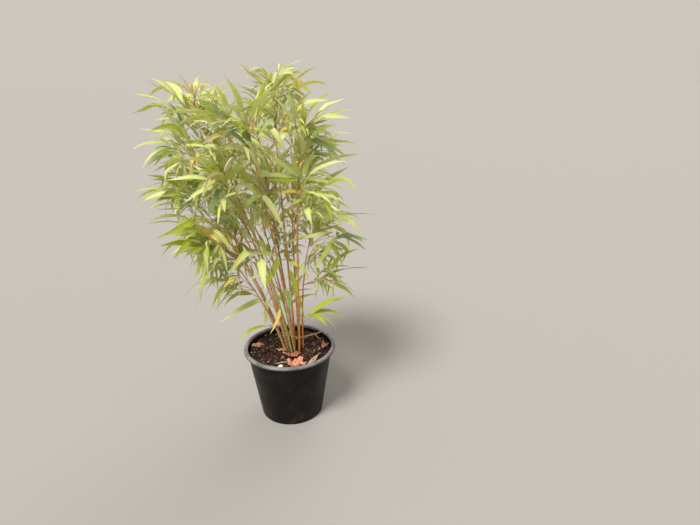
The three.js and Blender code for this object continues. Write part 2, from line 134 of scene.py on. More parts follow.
def beside(direction: np.ndarray) -> np.ndarray:
    """A direction square to the one given, level where it can be."""
    reference = UP if abs(direction[2]) < 0.9 else np.array([1.0, 0.0, 0.0])
    return unit(np.cross(direction, reference))


class Draws:
    """Repeatable random numbers, one stream for each set of whole-number keys."""

    SEED = 20417
    KEY_FACTOR = 0x85EBCA6B
    KEY_STEP = 0x27D4EB2F
    DRAW_STEP = 0x6D2B79F5
    MASK = 0xFFFFFFFF

    def __init__(self, *keys: int) -> None:
        """Starts the stream of these keys.

        Args:
            keys: The keys, in order.
        """
        state = self.SEED
        for key in keys:
            state = ((state ^ (key + 1)) * self.KEY_FACTOR + self.KEY_STEP) & self.MASK
        self._state = state

    def share(self) -> float:
        """The next number.

        Returns:
            The number, from 0 to 1.
        """
        self._state = (self._state + self.DRAW_STEP) & self.MASK
        state = self._state
        mixed = ((state ^ (state >> 15)) * (1 | state)) & self.MASK
        mixed = ((mixed + (mixed ^ (mixed >> 7)) * (61 | mixed)) & self.MASK) ^ mixed
        return (mixed ^ (mixed >> 14)) / (self.MASK + 1)

    def between(self, low: float, high: float) -> float:
        """The next number, from low to high."""
        return mix(low, high, self.share())


@dataclass
class Strokes:
    """Straight pieces with a radius each, kept as arrays so that all distances are found at once."""

    PARALLEL = 1e-9

    starts: np.ndarray = field(default_factory=lambda: np.zeros((0, 3)))
    spans: np.ndarray = field(default_factory=lambda: np.zeros((0, 3)))
    radii: np.ndarray = field(default_factory=lambda: np.zeros(0))

    @classmethod
    def along(cls, points: Line, radii: Sequence[float]) -> "Strokes":
        """The pieces of a line of points."""
        corners = np.array(points)
        return cls(corners[:-1], np.diff(corners, axis=0), np.array(radii[: len(corners) - 1], float))

    def add(self, other: "Strokes") -> None:
        """Takes in another set's pieces."""
        self.starts = np.concatenate([self.starts, other.starts])
        self.spans = np.concatenate([self.spans, other.spans])
        self.radii = np.concatenate([self.radii, other.radii])

    def gaps(self, other: "Strokes") -> np.ndarray:
        """The distance from each piece to each piece of another set.

        Args:
            other: The other set.

        Returns:
            One row for each piece, one column for each of the other's.
        """
        u, v = self.spans, other.spans
        w = self.starts[:, None] - other.starts[None]
        uu = np.einsum("ik,ik->i", u, u)[:, None]
        vv = np.einsum("jk,jk->j", v, v)[None]
        uv = u @ v.T
        uw = np.einsum("ik,ijk->ij", u, w)
        vw = np.einsum("jk,ijk->ij", v, w)
        slant = uu * vv - uv * uv
        met = (uv * vw - vv * uw) / np.maximum(slant, self.PARALLEL)
        first = np.where(slant > self.PARALLEL, met, 0.0).clip(0, 1)
        t = ((uv * first + vw) / vv).clip(0, 1)
        s = ((uv * t - uw) / uu).clip(0, 1)
        apart = w + s[..., None] * u[:, None] - t[..., None] * v[None]
        return np.sqrt(np.einsum("ijk,ijk->ij", apart, apart))

    def far_from(self, other: "Strokes", gap: float) -> bool:
        """Whether every piece is further than gap from every piece of another set, centre to centre."""
        return not len(other.radii) or bool((self.gaps(other) > gap).all())

    def clear_of(self, other: "Strokes", clearance: float) -> bool:
        """Whether every piece's skin is further than a clearance from every skin of another set."""
        if not len(other.radii):
            return True
        return bool((self.gaps(other) > self.radii[:, None] + other.radii[None] + clearance).all())


@dataclass
class Stem:
    """What a mass of leaves grows on: the leafy top of a cane, or a low side spray's own stem."""

    key: int
    points: list[np.ndarray]
    directions: list[np.ndarray]
    radii: list[float]
    outward: float
    top: bool


@dataclass
class Cane:
    """One cane's joints from the foot up. bare counts the lengths between joints below the leaves."""

    index: int
    turn: float
    points: list[np.ndarray]
    directions: list[np.ndarray]
    radii: list[float]
    bare: int


@dataclass(frozen=True)
class LeafRule:
    """Sizes and angles that leaves are drawn from, in millimetres and degrees."""

    length: float = 98
    spread: float = 24
    width_share: float = 0.13
    shoulder: float = 0.38
    root_depth: float = 0.2
    thickness: float = 1.5
    first_size: float = 0.8
    last_size: float = 1.05
    fan: float = 48
    fan_jitter: float = 18
    steepest: float = 69
    rise_down: float = 38
    rise_up: float = 14
    droop: Span = (14, 58)
    roll: float = 28
    spacing: float = 9
    tries: int = 10


@dataclass(frozen=True)
class TwigRule:
    """Sizes and angles that twigs are drawn from, in millimetres and degrees."""

    sides: Keys = (0, 1)
    tries: int = 14
    length: Span = (86, 38)
    length_share: Span = (0.6, 1.1)
    angle: float = 46
    angle_spread: Span = (-12, 22)
    swing: Span = (8, 100)
    swing_step: float = 8
    radius: float = 1.2
    free_from: float = 0.3
    leaves: int = 5
    leaves_from: float = 0.42
    leaves_to: float = 0.97
    fewest: int = 3


@dataclass(frozen=True)
class Habit:
    """How one round of twigs grows, and how much nearer to its own stem all of it stays than to any other."""

    twig: TwigRule = TwigRule()
    leaf: LeafRule = LeafRule()
    margin: float = 5
    key: int = 0


@dataclass
class Leaf:
    """One leaf as the rule draws it: where it starts, where it points, and how it bends."""

    keys: Keys
    root: np.ndarray
    direction: np.ndarray
    length: float
    droop: float
    roll: float
    rule: LeafRule

    def __post_init__(self) -> None:
        """Works out the blade's corners."""
        self.level = unit(np.cross(self.direction, UP))
        self.top = np.cross(self.level, self.direction)
        side = self.level * cos(self.roll) + self.top * sin(self.roll)
        face = self.top * cos(self.roll) - self.level * sin(self.roll)
        onward = self.direction * cos(self.droop) - self.top * sin(self.droop)
        self.half_width = self.length * self.rule.width_share / 2
        self.shoulder = self.root + self.direction * self.length * self.rule.shoulder
        self.tip = self.shoulder + onward * self.length * (1 - self.rule.shoulder)
        self.corners = [
            self.shoulder + side * self.half_width,
            self.shoulder - side * self.half_width,
            self.shoulder + face * self.rule.thickness,
            self.tip,
            mix(self.shoulder, self.tip, 1 / 3),
            mix(self.shoulder, self.tip, 2 / 3),
        ]
        rib = [mix(self.root, self.shoulder, 0.5), self.shoulder, self.tip]
        self.rib = Strokes.along(rib, [self.half_width] * 2)


@dataclass
class Twig:
    """One twig with its leaves, as the rule draws it, and the slight bow that it is shown with."""

    BOW_KEY = 640
    MOST_BOW = 0.05
    BOW_RISE = (-0.4, 1)

    keys: Keys
    root: np.ndarray
    end: np.ndarray
    leaves: list[Leaf]
    outer: Strokes

    def __post_init__(self) -> None:
        """Draws the bow."""
        random = Draws(*self.keys, self.BOW_KEY)
        span = self.end - self.root
        self.length = float(np.linalg.norm(span))
        bow = beside(span / self.length) * random.between(-1, 1) + UP * random.between(*self.BOW_RISE)
        self.bow = bow * self.MOST_BOW * self.length

    def shift(self, share: float) -> np.ndarray:
        """How far the bow moves the twig out of line at a share of its length."""
        return self.bow * sin(pi * min(share, 1.0))


@dataclass
class Place:
    """The space that one mass of leaves may fill, the habit it grows by, and what has grown there."""

    owner: int
    space: "Space"
    limbs: Strokes
    habit: Habit
    twigs: Strokes = field(default_factory=Strokes)
    ribs: Strokes = field(default_factory=Strokes)

    def take(self, twig: "Twig") -> None:
        """Counts a twig and its leaves as grown here."""
        self.twigs.add(twig.outer)
        for leaf in twig.leaves:
            self.ribs.add(leaf.rib)

    def holds(self, points: Line) -> bool:
        """Whether some points lie in this mass's own space."""
        return self.space.holds(points, self.owner, self.habit.margin)


class Sight:
    """What stays open to the viewer's place: nothing fine grows in front of these points."""

    WIDTH = 0.011
    STEP = 8.0

    def __init__(self, lines: Sequence[Line]) -> None:
        """Marks points along some lines.

        Args:
            lines: The lines.
        """
        points = []
        for line in lines:
            for start, end in zip(line, line[1:]):
                count = ceil(float(np.linalg.norm(end - start)) / self.STEP)
                points += [mix(start, end, k / count) for k in range(count + 1)]
        self.ways, self.depths = self._seen(np.array(points))

    @staticmethod
    def _seen(points: np.ndarray) -> tuple[np.ndarray, np.ndarray]:
        """The directions and distances of some points from the viewer's place."""
        offsets = points - VIEWER
        depths = np.linalg.norm(offsets, axis=1)
        return offsets / depths[:, None], depths

    def hidden_by(self, points: Line) -> bool:
        """Whether any of some points stands before what stays open."""
        ways, depths = self._seen(np.array(points))
        close = ways @ self.ways.T > cos(self.WIDTH)
        return bool((close & (depths[:, None] < self.depths[None])).any())


class Space:
    """Shares the air over the pot among the stems: each point belongs to its nearest stem."""

    def __init__(
        self, stems: Sequence[Stem], low: np.ndarray, high: np.ndarray, sight: Sight | None = None
    ) -> None:
        """Keeps every stem's pieces.

        Args:
            stems: The stems.
            low: The lowest corner of the box that leaves stay in.
            high: Its highest corner.
            sight: What they may not hide.
        """
        strokes = Strokes()
        for stem in stems:
            strokes.add(Strokes.along(stem.points, stem.radii))
        self.owners = np.array([i for i, stem in enumerate(stems) for _ in stem.points[1:]])
        self.starts, self.spans = strokes.starts, strokes.spans
        self.lengths = (self.spans * self.spans).sum(-1)
        self.low, self.high, self.sight = low, high, sight

    def holds(self, points: Line, owner: int, margin: float) -> bool:
        """Whether some points lie in a stem's own space.

        Args:
            points: The points.
            owner: The stem's number.
            margin: How much nearer the points must be to this stem than to any other.

        Returns:
            True if all of them do.
        """
        places = np.array(points)
        if (places < self.low).any() or (places > self.high).any():
            return False
        if self.sight and self.sight.hidden_by(places):
            return False
        offsets = places[:, None] - self.starts[None]
        t = (np.einsum("ijk,jk->ij", offsets, self.spans) / self.lengths[None]).clip(0, 1)
        apart = offsets - t[..., None] * self.spans[None]
        far = np.sqrt(np.einsum("ijk,ijk->ij", apart, apart))
        own = self.owners == owner
        reach = far[:, own].min(-1, keepdims=True) + margin
        return bool((far[:, ~own] > reach).all())


@dataclass
class Clump:
    """The canes: the inner ones tall, the outer ones short and leaning out."""

    count: int = 16
    centre_x: float = 8
    half_width: float = 27
    half_depth: float = 20
    first_turn: float = 0.4
    foot_height: float = 167.3
    length: Span = (680, 290)
    length_jitter: float = 0.07
    foot_radius: Span = (2.9, 1.9)
    tip_radius: float = 1.3
    joints: Span = (11, 7)
    evenness: float = 0.75
    longest: float = 0.7
    bare_share: float = 0.4
    foot_tilt: float = 1
    foot_spread: float = 11
    tilt_jitter: float = 4.5
    turn_jitter: float = 26
    arch: Span = (16, 36)
    lean: Spot = (-0.12, 0.03, 0.0)
    lean_growth: float = 1.6
    zigzag: float = 1.4
    key: int = 571

    def grow(self) -> list[Cane]:
        """Every cane of the clump."""
        return [self._cane(index) for index in range(self.count)]

    def _cane(self, index: int) -> Cane:
        """Grows one cane by the source's rule.

        Args:
            index: The cane's number, from 0.

        Returns:
            The cane.
        """
        share = (index + 0.5) / self.count
        out = sqrt(share)
        turn = self.first_turn + index * GOLDEN_TURN
        foot = np.array([
            self.centre_x + self.half_width * out * cos(turn),
            self.half_depth * out * sin(turn),
            self.foot_height,
        ])
        random = Draws(self.key, index)
        length = mix(*self.length, share) * (1 + random.between(-self.length_jitter, self.length_jitter))
        tilt_jitter = random.between(-self.tilt_jitter, self.tilt_jitter)
        turn_jitter = random.between(-self.turn_jitter, self.turn_jitter)
        count = floor(mix(*self.joints, share) + 0.5)
        foot_radius = mix(*self.foot_radius, share)
        weights = [self.evenness + sin(pi * (k + self.longest) / count) for k in range(count)]
        points, directions, radii = [foot], [], [foot_radius]
        for k in range(count):
            up = (k + 0.5) / count
            foot_tilt = self.foot_tilt + self.foot_spread * out + tilt_jitter * (1 - up)
            tilt = radians(foot_tilt + mix(*self.arch, share) * up * up)
            swing = radians(turn_jitter * (1 - up) + (self.zigzag if k % 2 else -self.zigzag))
            lean = np.array(self.lean) * (1 + self.lean_growth * up)
            direction = unit(pointing(turn + swing, pi / 2 - tilt) + lean)
            directions.append(direction)
            points.append(points[k] + direction * (length * weights[k] / sum(weights)))
            radii.append(mix(foot_radius, self.tip_radius, (k + 1) / count))
        bare = floor(count * self.bare_share + 0.5)
        return Cane(index, turn, points, directions, radii, bare)


@dataclass(frozen=True)
class Spray:
    """A low side spray: its heading in degrees, height over the compost and rise."""

    name: str
    heading: float
    height: float
    rise: float = 34


@dataclass
class Growth:
    """Grows the foliage on the canes: first by the source's rule, then on to finer twigs and leaves."""

    canes: list[Cane]
    open_lines: list[Line]
    rule: Habit = Habit()
    fine: Habit = Habit(
        TwigRule(sides=(2, 3, 4), tries=8, length=(98, 58), swing=(0, 170),
                 angle_spread=(-30, 34), leaves_from=0.46),
        LeafRule(length=70, spread=24, spacing=5, rise_down=60, droop=(10, 76), roll=70), -14, 5000,
    )
    offshoot: Habit = Habit(
        TwigRule(sides=(0, 1), tries=5, length=(50, 28), length_share=(0.6, 1.3),
                 swing=(24, 84), leaves=4, fewest=2),
        fine.leaf, -14, 10000,
    )
    offshoot_share: Span = (0.35, 0.9)
    offshoot_turn: Span = (-40, 34)
    sprays: tuple[Spray, ...] = (
        Spray("low_spray_left", 186, 130),
        Spray("low_spray_front", 250, 90),
        Spray("low_spray_right", 335, 100),
        Spray("low_spray_back", 80, 100),
    )
    seat_gap: float = 0.3
    limb_clearance: float = 1
    lowest_leaf: float = 187
    fine_lowest: float = 300
    open_cane_height: float = 400
    fine_inset: float = 2
    soil_top: float = 167
    swelling: float = 0.5
    spray_reach: float = 36
    spray_window: float = 26
    spray_fan: tuple[float, ...] = (-1, 1, -0.6, 0.6, 0)
    top_leaves: int = 6
    top_leaves_from: float = 0.75
    top_rise: Span = (20, 62)
    end_key: int = 60
    foliage_key: int = 100
    spray_key: int = 300

    def grow(self) -> tuple[list[Stem], list[Twig], list[Leaf]]:
        """Grows every mass.

        Returns:
            The stems, all twigs with their leaves, and the leaves that stand on the stems' own ends.
        """
        stems = [self._stem_of_cane(cane) for cane in self.canes]
        stems += [self._stem_of_spray(spray, index) for index, spray in enumerate(self.sprays)]
        space = Space(stems, np.array([-np.inf, -np.inf, self.lowest_leaf]), np.full(3, np.inf))
        reach = np.array(CAD_BOX) / MM
        low = np.array([*(reach[0] + self.fine_inset)[:2], self.fine_lowest])
        bare = [[point for point in cane.points if point[2] < self.open_cane_height] for cane in self.canes]
        inside = Space(stems, low, reach[1] - self.fine_inset, Sight([*self.open_lines, *bare]))
        limbs = Strokes()
        for cane in self.canes:
            radii = [radius + self.swelling for radius in cane.radii]
            limbs.add(Strokes.along(cane.points[: cane.bare + 1], radii))
        twigs: list[Twig] = []
        ends: list[Leaf] = []
        for owner, stem in enumerate(stems):
            place = Place(owner, space, limbs, self.rule)
            own = self._twigs(stem, place)
            ends += self._end(stem, place)
            place.space, place.habit = inside, self.fine
            own += self._twigs(stem, place)
            place.habit = self.offshoot
            twigs += own + self._offshoots(own, place)
        return stems, twigs, ends

    def _stem_of_cane(self, cane: Cane) -> Stem:
        """The leafy top of a cane, which goes on from the cane's bare part.

        Args:
            cane: The cane.

        Returns:
            The stem.
        """
        start = cane.points[cane.bare] + cane.directions[cane.bare] * (self.seat_gap / 2)
        return Stem(
            key=self.foliage_key + cane.index,
            points=[start, *cane.points[cane.bare + 1 :]],
            directions=cane.directions[cane.bare :],
            radii=cane.radii[cane.bare :],
            outward=cane.turn,
            top=True,
        )

    def _stem_of_spray(self, spray: Spray, index: int) -> Stem:
        """A low side spray's stem, at a joint of the outermost cane in its heading.

        Args:
            spray: The spray.
            index: Its number, from 0.

        Returns:
            The stem, which starts just clear of the solid cane's skin.
        """
        heading = radians(spray.heading)
        outward = pointing(heading, 0)
        level = self.soil_top + spray.height
        joints = [
            (cane.points[k], cane.directions[k], cane.index)
            for cane in self.canes
            for k in range(1, cane.bare)
            if abs(cane.points[k][2] - level) < self.spray_window
        ]
        point, axis, host = max(joints, key=lambda joint: float(joint[0] @ outward))
        direction = pointing(heading, radians(spray.rise))
        outside = point + direction * self.spray_reach
        skin = self._skin(f"cane_{host + 1:02d}", outside, -direction)
        along = abs(float(direction @ axis))
        across = float(np.linalg.norm(np.cross(direction, axis)))
        start = skin + direction * ((self.seat_gap + self.rule.twig.radius * along) / across)
        return Stem(
            key=self.spray_key + index,
            points=[start, start + direction * self.spray_reach],
            directions=[direction],
            radii=[self.rule.twig.radius] * 2,
            outward=heading,
            top=False,
        )

    @staticmethod
    def _skin(node: str, outside: np.ndarray, inward: np.ndarray) -> np.ndarray:
        """Where a line from outside first meets a solid of the frame.

        Args:
            node: The solid's node.
            outside: A point of the line, outside.
            inward: The line's direction.

        Returns:
            The place, in millimetres.
        """
        mesh = frame["nodes"][node].data
        corners = [tuple(vertex.co) for vertex in mesh.vertices]
        tree = BVHTree.FromPolygons(corners, [tuple(face.vertices) for face in mesh.polygons])
        hit = tree.ray_cast(Vector(outside * MM), Vector(inward))[0]
        return np.array(hit) / MM

    def _twigs(self, stem: Stem, place: Place) -> list[Twig]:
        """Grows twigs up a stem, each drawn anew a few times until it finds free space.

        Args:
            stem: The stem.
            place: Its space, which takes in what grows.

        Returns:
            The twigs.
        """
        grown, rule = [], place.habit.twig
        last = len(stem.points) - 1
        for joint in range(1, last):
            for side in rule.sides:
                for attempt in range(rule.tries):
                    keys = (stem.key + place.habit.key, joint, side, attempt)
                    random = Draws(*keys)
                    swing = random.between(*rule.swing) + attempt * rule.swing_step
                    heading = stem.outward + radians(swing) * (1 if side % 2 else -1)
                    from_upright = rule.angle + random.between(*rule.angle_spread)
                    length = mix(*rule.length, joint / last) * random.between(*rule.length_share)
                    rise = radians(90 - from_upright)
                    twig = self._twig(keys, stem.points[joint], heading, rise, length, place)
                    if twig:
                        grown.append(twig)
                        break
        return grown

    def _offshoots(self, twigs: Sequence[Twig], place: Place) -> list[Twig]:
        """Grows finer twigs from the sides of twigs.

        Args:
            twigs: The twigs that carry them.
            place: Their space, which takes in what grows.

        Returns:
            The finer twigs.
        """
        grown, rule = [], place.habit.twig
        for twig in twigs:
            span = (twig.end - twig.root) / twig.length
            for side in rule.sides:
                for attempt in range(rule.tries):
                    keys = (twig.keys[0] + place.habit.key, *twig.keys[1:], side, attempt)
                    random = Draws(*keys)
                    share = random.between(*self.offshoot_share)
                    root = mix(twig.root, twig.end, share) + twig.shift(share)
                    swing = radians(random.between(*rule.swing)) * (1 if side % 2 else -1)
                    heading = atan2(span[1], span[0]) + swing
                    rise = asin(span[2]) + radians(random.between(*self.offshoot_turn))
                    length = mix(*rule.length, share) * random.between(*rule.length_share)
                    shoot = self._twig(keys, root, heading, rise, length, place)
                    if shoot:
                        grown.append(shoot)
                        break
        return grown

    def _twig(
        self, keys: Keys, root: np.ndarray, heading: float, rise: float, length: float, place: Place
    ) -> Twig | None:
        """Grows one straight twig with leaves to both sides in turn and one at its end.

        Args:
            keys: The keys of its draws.
            root: Its start.
            heading: Its heading.
            rise: Its rise.
            length: Its length.
            place: The space that it has to fit in, which takes it in.

        Returns:
            The twig, or None where it has no room.
        """
        rule, spacing = place.habit.twig, place.habit.leaf.spacing
        end = root + pointing(heading, rise) * length
        outer_start = mix(root, end, rule.free_from)
        outer = Strokes.along([outer_start, end], [rule.radius])
        if not (
            place.holds([end, outer_start])
            and Strokes.along([root, end], [rule.radius]).clear_of(place.limbs, self.limb_clearance)
            and outer.far_from(place.twigs, spacing / 2)
            and outer.far_from(place.ribs, spacing)
        ):
            return None
        inner = replace(place, ribs=replace(place.ribs))
        leaves = []
        for k in range(rule.leaves):
            up = mix(rule.leaves_from, rule.leaves_to, k / (rule.leaves - 1))
            side = 0 if k == rule.leaves - 1 else (1 if k % 2 else -1)
            turn = heading + radians(place.habit.leaf.fan) * side
            size = mix(place.habit.leaf.first_size, place.habit.leaf.last_size, up)
            leaf = self._leaf((*keys, k), mix(root, end, up), turn, rise, size, inner)
            if leaf:
                inner.ribs.add(leaf.rib)
                leaves.append(leaf)
        if len(leaves) < rule.fewest:
            return None
        twig = Twig(keys, root, end, leaves, outer)
        place.take(twig)
        return twig

    def _leaf(
        self, keys: Keys, root: np.ndarray, heading: float, rise: float, size: float, place: Place
    ) -> Leaf | None:
        """Draws one leaf, anew a few times until it is free.

        Args:
            keys: The keys of its draws.
            root: Its start.
            heading: Its heading.
            rise: Its rise.
            size: Its size beside the rule's.
            place: The space that it has to fit in.

        Returns:
            The leaf, or None where it has no room.
        """
        rule = place.habit.leaf
        steepest = radians(rule.steepest)
        for attempt in range(rule.tries):
            random = Draws(*keys, attempt)
            turned = heading + radians(random.between(-rule.fan_jitter, rule.fan_jitter))
            raised = rise + radians(random.between(-rule.rise_down, rule.rise_up))
            direction = pointing(turned, min(max(raised, -steepest), steepest))
            length = size * (rule.length + random.between(-rule.spread, rule.spread))
            droop = radians(random.between(*rule.droop))
            roll = radians(random.between(-rule.roll, rule.roll))
            leaf = Leaf(keys, root - direction * rule.root_depth, direction, length, droop, roll, rule)
            if (
                place.holds(leaf.corners)
                and leaf.rib.clear_of(place.limbs, self.limb_clearance)
                and leaf.rib.far_from(place.ribs, rule.spacing)
                and leaf.rib.far_from(place.twigs, rule.spacing / 2)
            ):
                return leaf
        return None

    def _end(self, stem: Stem, place: Place) -> list[Leaf]:
        """Grows the leaves of a stem's own end: all round a cane's top, or fanned on a low spray.

        Args:
            stem: The stem.
            place: Its space.

        Returns:
            The leaves.
        """
        before, end = stem.points[-2:]
        rise = asin(stem.directions[-1][2])
        twig, fan = place.habit.twig, radians(place.habit.leaf.fan)
        count = self.top_leaves if stem.top else twig.leaves
        leaves = []
        for k in range(count):
            share = k / (count - 1)
            first = self.top_leaves_from if stem.top else twig.leaves_from
            root = mix(before, end, mix(first, twig.leaves_to, share))
            turn = k * GOLDEN_TURN if stem.top else fan * self.spray_fan[k]
            leaf_rise = radians(mix(*self.top_rise, share)) if stem.top else rise
            keys = (stem.key, self.end_key, k)
            heading = stem.outward + turn
            leaf = self._leaf(keys, root, heading, leaf_rise, 1, place)
            if leaf:
                place.ribs.add(leaf.rib)
                leaves.append(leaf)
        return leaves


def linear(code: str) -> tuple[float, float, float, float]:
    """A colour as shaders take it, from its six-digit code."""
    shares = [int(code[start : start + 2], 16) / 255 for start in (0, 2, 4)]
    red, green, blue = (s / 12.92 if s <= 0.04045 else ((s + 0.055) / 1.055) ** 2.4 for s in shares)
    return red, green, blue, 1.0


def link_object(name: str, data: bpy.types.ID) -> Piece:
    """A new object in the scene, at the origin, with this mesh, light or camera."""
    piece = bpy.data.objects.new(name, data)
    bpy.context.scene.collection.objects.link(piece)
    return piece


def mesh_of(
    name: str, points: Sequence[Sequence[float]], faces: Sequence[Sequence[int]], soft: bool = True
) -> bpy.types.Mesh:
    """A mesh from points in millimetres.

    Args:
        name: The mesh's name.
        points: The points.
        faces: The faces, each a row of point numbers.
        soft: Whether the faces are shaded smooth.

    Returns:
        The mesh, in metres.
    """
    mesh = bpy.data.meshes.new(name)
    mesh.from_pydata((np.array(points, float) * MM).tolist(), [], [tuple(map(int, face)) for face in faces])
    mesh.polygons.foreach_set("use_smooth", [soft] * len(mesh.polygons))
    mesh.update()
    return mesh


def ringed(rings: Sequence[Sequence[Sequence[float]]], closed: bool = True) -> tuple[list, list]:
    """Joins rings of points into faces that point outward when the rings turn left seen from past the last.

    Args:
        rings: The rings, all with the same count. A ring of one point is a pole.
        closed: Whether each ring ends where it starts.

    Returns:
        The points and the faces.
    """
    points, faces, starts = [], [], []
    for ring in rings:
        starts.append(len(points))
        points.extend(ring)
    for low, high, first, second in zip(rings, rings[1:], starts, starts[1:]):
        count = max(len(low), len(high))
        for k in range(count if closed else count - 1):
            after = (k + 1) % count
            if len(low) == 1:
                faces.append((first, second + after, second + k))
            elif len(high) == 1:
                faces.append((first + k, first + after, second))
            else:
                faces.append((first + k, first + after, second + after, second + k))
    return points, faces


def frozen(piece: Piece) -> Piece:
    """Turns an object's modifiers into its plain mesh and takes them off.

    Args:
        piece: The object.

    Returns:
        The same object.
    """
    shaped = piece.evaluated_get(bpy.context.evaluated_depsgraph_get())
    mesh = bpy.data.meshes.new_from_object(shaped)
    mesh.name = piece.name
    piece.modifiers.clear()
    before = piece.data
    piece.data = mesh
    bpy.data.meshes.remove(before)
    return piece


@cache
def shared(kind: type[Kind]) -> Kind:
    """The one tree or effect of a kind, built when it is first asked for."""
    return kind()


class Board:
    """The node tree of one material, node group or modifier, with short ways to add and join nodes."""

    def __init__(self, tree: bpy.types.NodeTree) -> None:
        """Works on this tree."""
        self.tree = tree

    @staticmethod
    def pick(sockets: bpy.types.bpy_prop_collection, name: str | int) -> Socket:
        """The socket of this name or number that the node's settings leave in use."""
        if isinstance(name, int):
            return sockets[name]
        return next(socket for socket in sockets if socket.name == name and socket.enabled)

    def add(self, kind: str, inputs: dict | None = None, **settings: object) -> bpy.types.Node:
        """Adds a node.

        Args:
            kind: The node's type.
            inputs: Its inputs by name or number, each a value or a socket to join to.
            settings: Its own properties.

        Returns:
            The node.
        """
        node = self.tree.nodes.new(kind)
        for name, value in settings.items():
            setattr(node, name, value)
        for name, value in (inputs or {}).items():
            self.put(self.pick(node.inputs, name), value)
        return node

    def made(self, kind: str, inputs: dict | None = None, **settings: object) -> Socket:
        """Adds a node and gives the first output that it has in use."""
        node = self.add(kind, inputs, **settings)
        return next(socket for socket in node.outputs if socket.enabled)

    def put(self, socket: Socket, value: object) -> None:
        """Sets an input to a value, or joins a socket to it.

        Args:
            socket: The input.
            value: The value or the socket.
        """
        if isinstance(value, Socket):
            self.tree.links.new(value, socket)
        else:
            socket.default_value = value

    def math(self, operation: str, *values: object, clamp: bool = False) -> Socket:
        """The result of one sum."""
        return self.made("ShaderNodeMath", dict(enumerate(values)), operation=operation, use_clamp=clamp)

    def blend(self, factor: object, first: object, second: object) -> Socket:
        """A colour between two, by a factor."""
        return self.made("ShaderNodeMix", {"Factor": factor, "A": first, "B": second}, data_type="RGBA")

    def noise(self, vector: object, scale: object, detail: float = 3.0, rough: float = 0.55) -> Socket:
        """A noise from 0 to 1 over some coordinates."""
        inputs = {"Vector": vector, "Scale": scale, "Detail": detail, "Roughness": rough}
        return self.made("ShaderNodeTexNoise", inputs)

    def spread(
        self, value: object, low: float, high: float, start: float = 0.0, end: float = 1.0
    ) -> Socket:
        """A value read over the range from low to high and eased from start to end, held at its ends."""
        inputs = {"Value": value, "From Min": low, "From Max": high, "To Min": start, "To Max": end}
        return self.made("ShaderNodeMapRange", inputs, interpolation_type="SMOOTHSTEP")

    def stretched(self, vector: object, scale: object) -> Socket:
        """Coordinates scaled by an amount along each axis."""
        return self.made("ShaderNodeVectorMath", {0: vector, 1: scale}, operation="MULTIPLY")


class Effect:
    """A shader node group that several finishes share."""

    def __init__(self, name: str, inputs: dict[str, float], outputs: Sequence[str]) -> None:
        """Starts the group with a place vector and named numbers in, and named masks out.

        Args:
            name: The group's name.
            inputs: The numbers that it takes, with their usual values.
            outputs: The masks that it gives.
        """
        self.group = bpy.data.node_groups.new(name, "ShaderNodeTree")
        sockets = self.group.interface
        sockets.new_socket(name="Place", in_out="INPUT", socket_type="NodeSocketVector")
        for label, value in inputs.items():
            socket = sockets.new_socket(name=label, in_out="INPUT", socket_type="NodeSocketFloat")
            socket.default_value = value
        for label in outputs:
            sockets.new_socket(name=label, in_out="OUTPUT", socket_type="NodeSocketFloat")
        self.board = Board(self.group)
        self.given = self.board.add("NodeGroupInput").outputs
        self.result = self.board.add("NodeGroupOutput").inputs

    def give(self, **masks: Socket) -> None:
        """Joins what the group gives, each by its name."""
        for label, socket in masks.items():
            self.board.put(self.result[label], socket)


class BladePattern(Effect):
    """A leaf blade's veins, midrib and edge, where X runs across the blade and Y along it."""

    def __init__(self) -> None:
        """Builds the group."""
        super().__init__("blade pattern", {"Vein Count": 7.0}, ("Veins", "Rib", "Edge", "Base"))
        board = self.board
        axes = board.add("ShaderNodeSeparateXYZ", {0: self.given["Place"]}).outputs
        across = board.math("ABSOLUTE", board.math("MULTIPLY_ADD", axes["X"], 2.0, -1.0))
        waves = board.math("MULTIPLY", across, board.math("MULTIPLY", self.given["Vein Count"], 2 * pi))
        self.give(
            Veins=board.math("MULTIPLY_ADD", board.math("COSINE", waves), 0.5, 0.5),
            Rib=board.spread(across, 0.16, 0.02),
            Edge=board.spread(across, 0.82, 1.0),
            Base=board.spread(axes["Y"], 0.14, 0.0),
        )


class Grime(Effect):
    """Dust and dry splashes: broad patches, fine specks, and a stain that fades out upward."""

    def __init__(self) -> None:
        """Builds the group."""
        numbers = {"Patch Scale": 20.0, "Speck Scale": 500.0, "Stain Height": 0.05}
        super().__init__("grime", numbers, ("Patches", "Specks", "Stain"))
        board, given = self.board, self.given
        height = board.add("ShaderNodeSeparateXYZ", {0: given["Place"]}).outputs["Z"]
        ragged = board.math("MULTIPLY_ADD", board.noise(given["Place"], 45.0, 4.0), 0.05, height)
        share = board.math("DIVIDE", ragged, given["Stain Height"])
        self.give(
            Patches=board.spread(board.noise(given["Place"], given["Patch Scale"], 5.0), 0.45, 0.75),
            Specks=board.spread(board.noise(given["Place"], given["Speck Scale"], 1.0), 0.66, 0.74),
            Stain=board.spread(share, 1.0, 0.3),
        )


class Fibre(Effect):
    """Long streaks that run upward, with broader patches of tone."""

    def __init__(self) -> None:
        """Builds the group."""
        numbers = {"Streak Scale": 700.0, "Streak Rise": 0.06, "Patch Scale": 30.0}
        super().__init__("fibre", numbers, ("Streaks", "Patches"))
        board, given = self.board, self.given
        drawn = board.made("ShaderNodeCombineXYZ", {"X": 1.0, "Y": 1.0, "Z": given["Streak Rise"]})
        place = board.stretched(given["Place"], drawn)
        self.give(
            Streaks=board.spread(board.noise(place, given["Streak Scale"], 2.0), 0.3, 0.7),
            Patches=board.spread(board.noise(given["Place"], given["Patch Scale"], 3.0), 0.35, 0.65),
        )


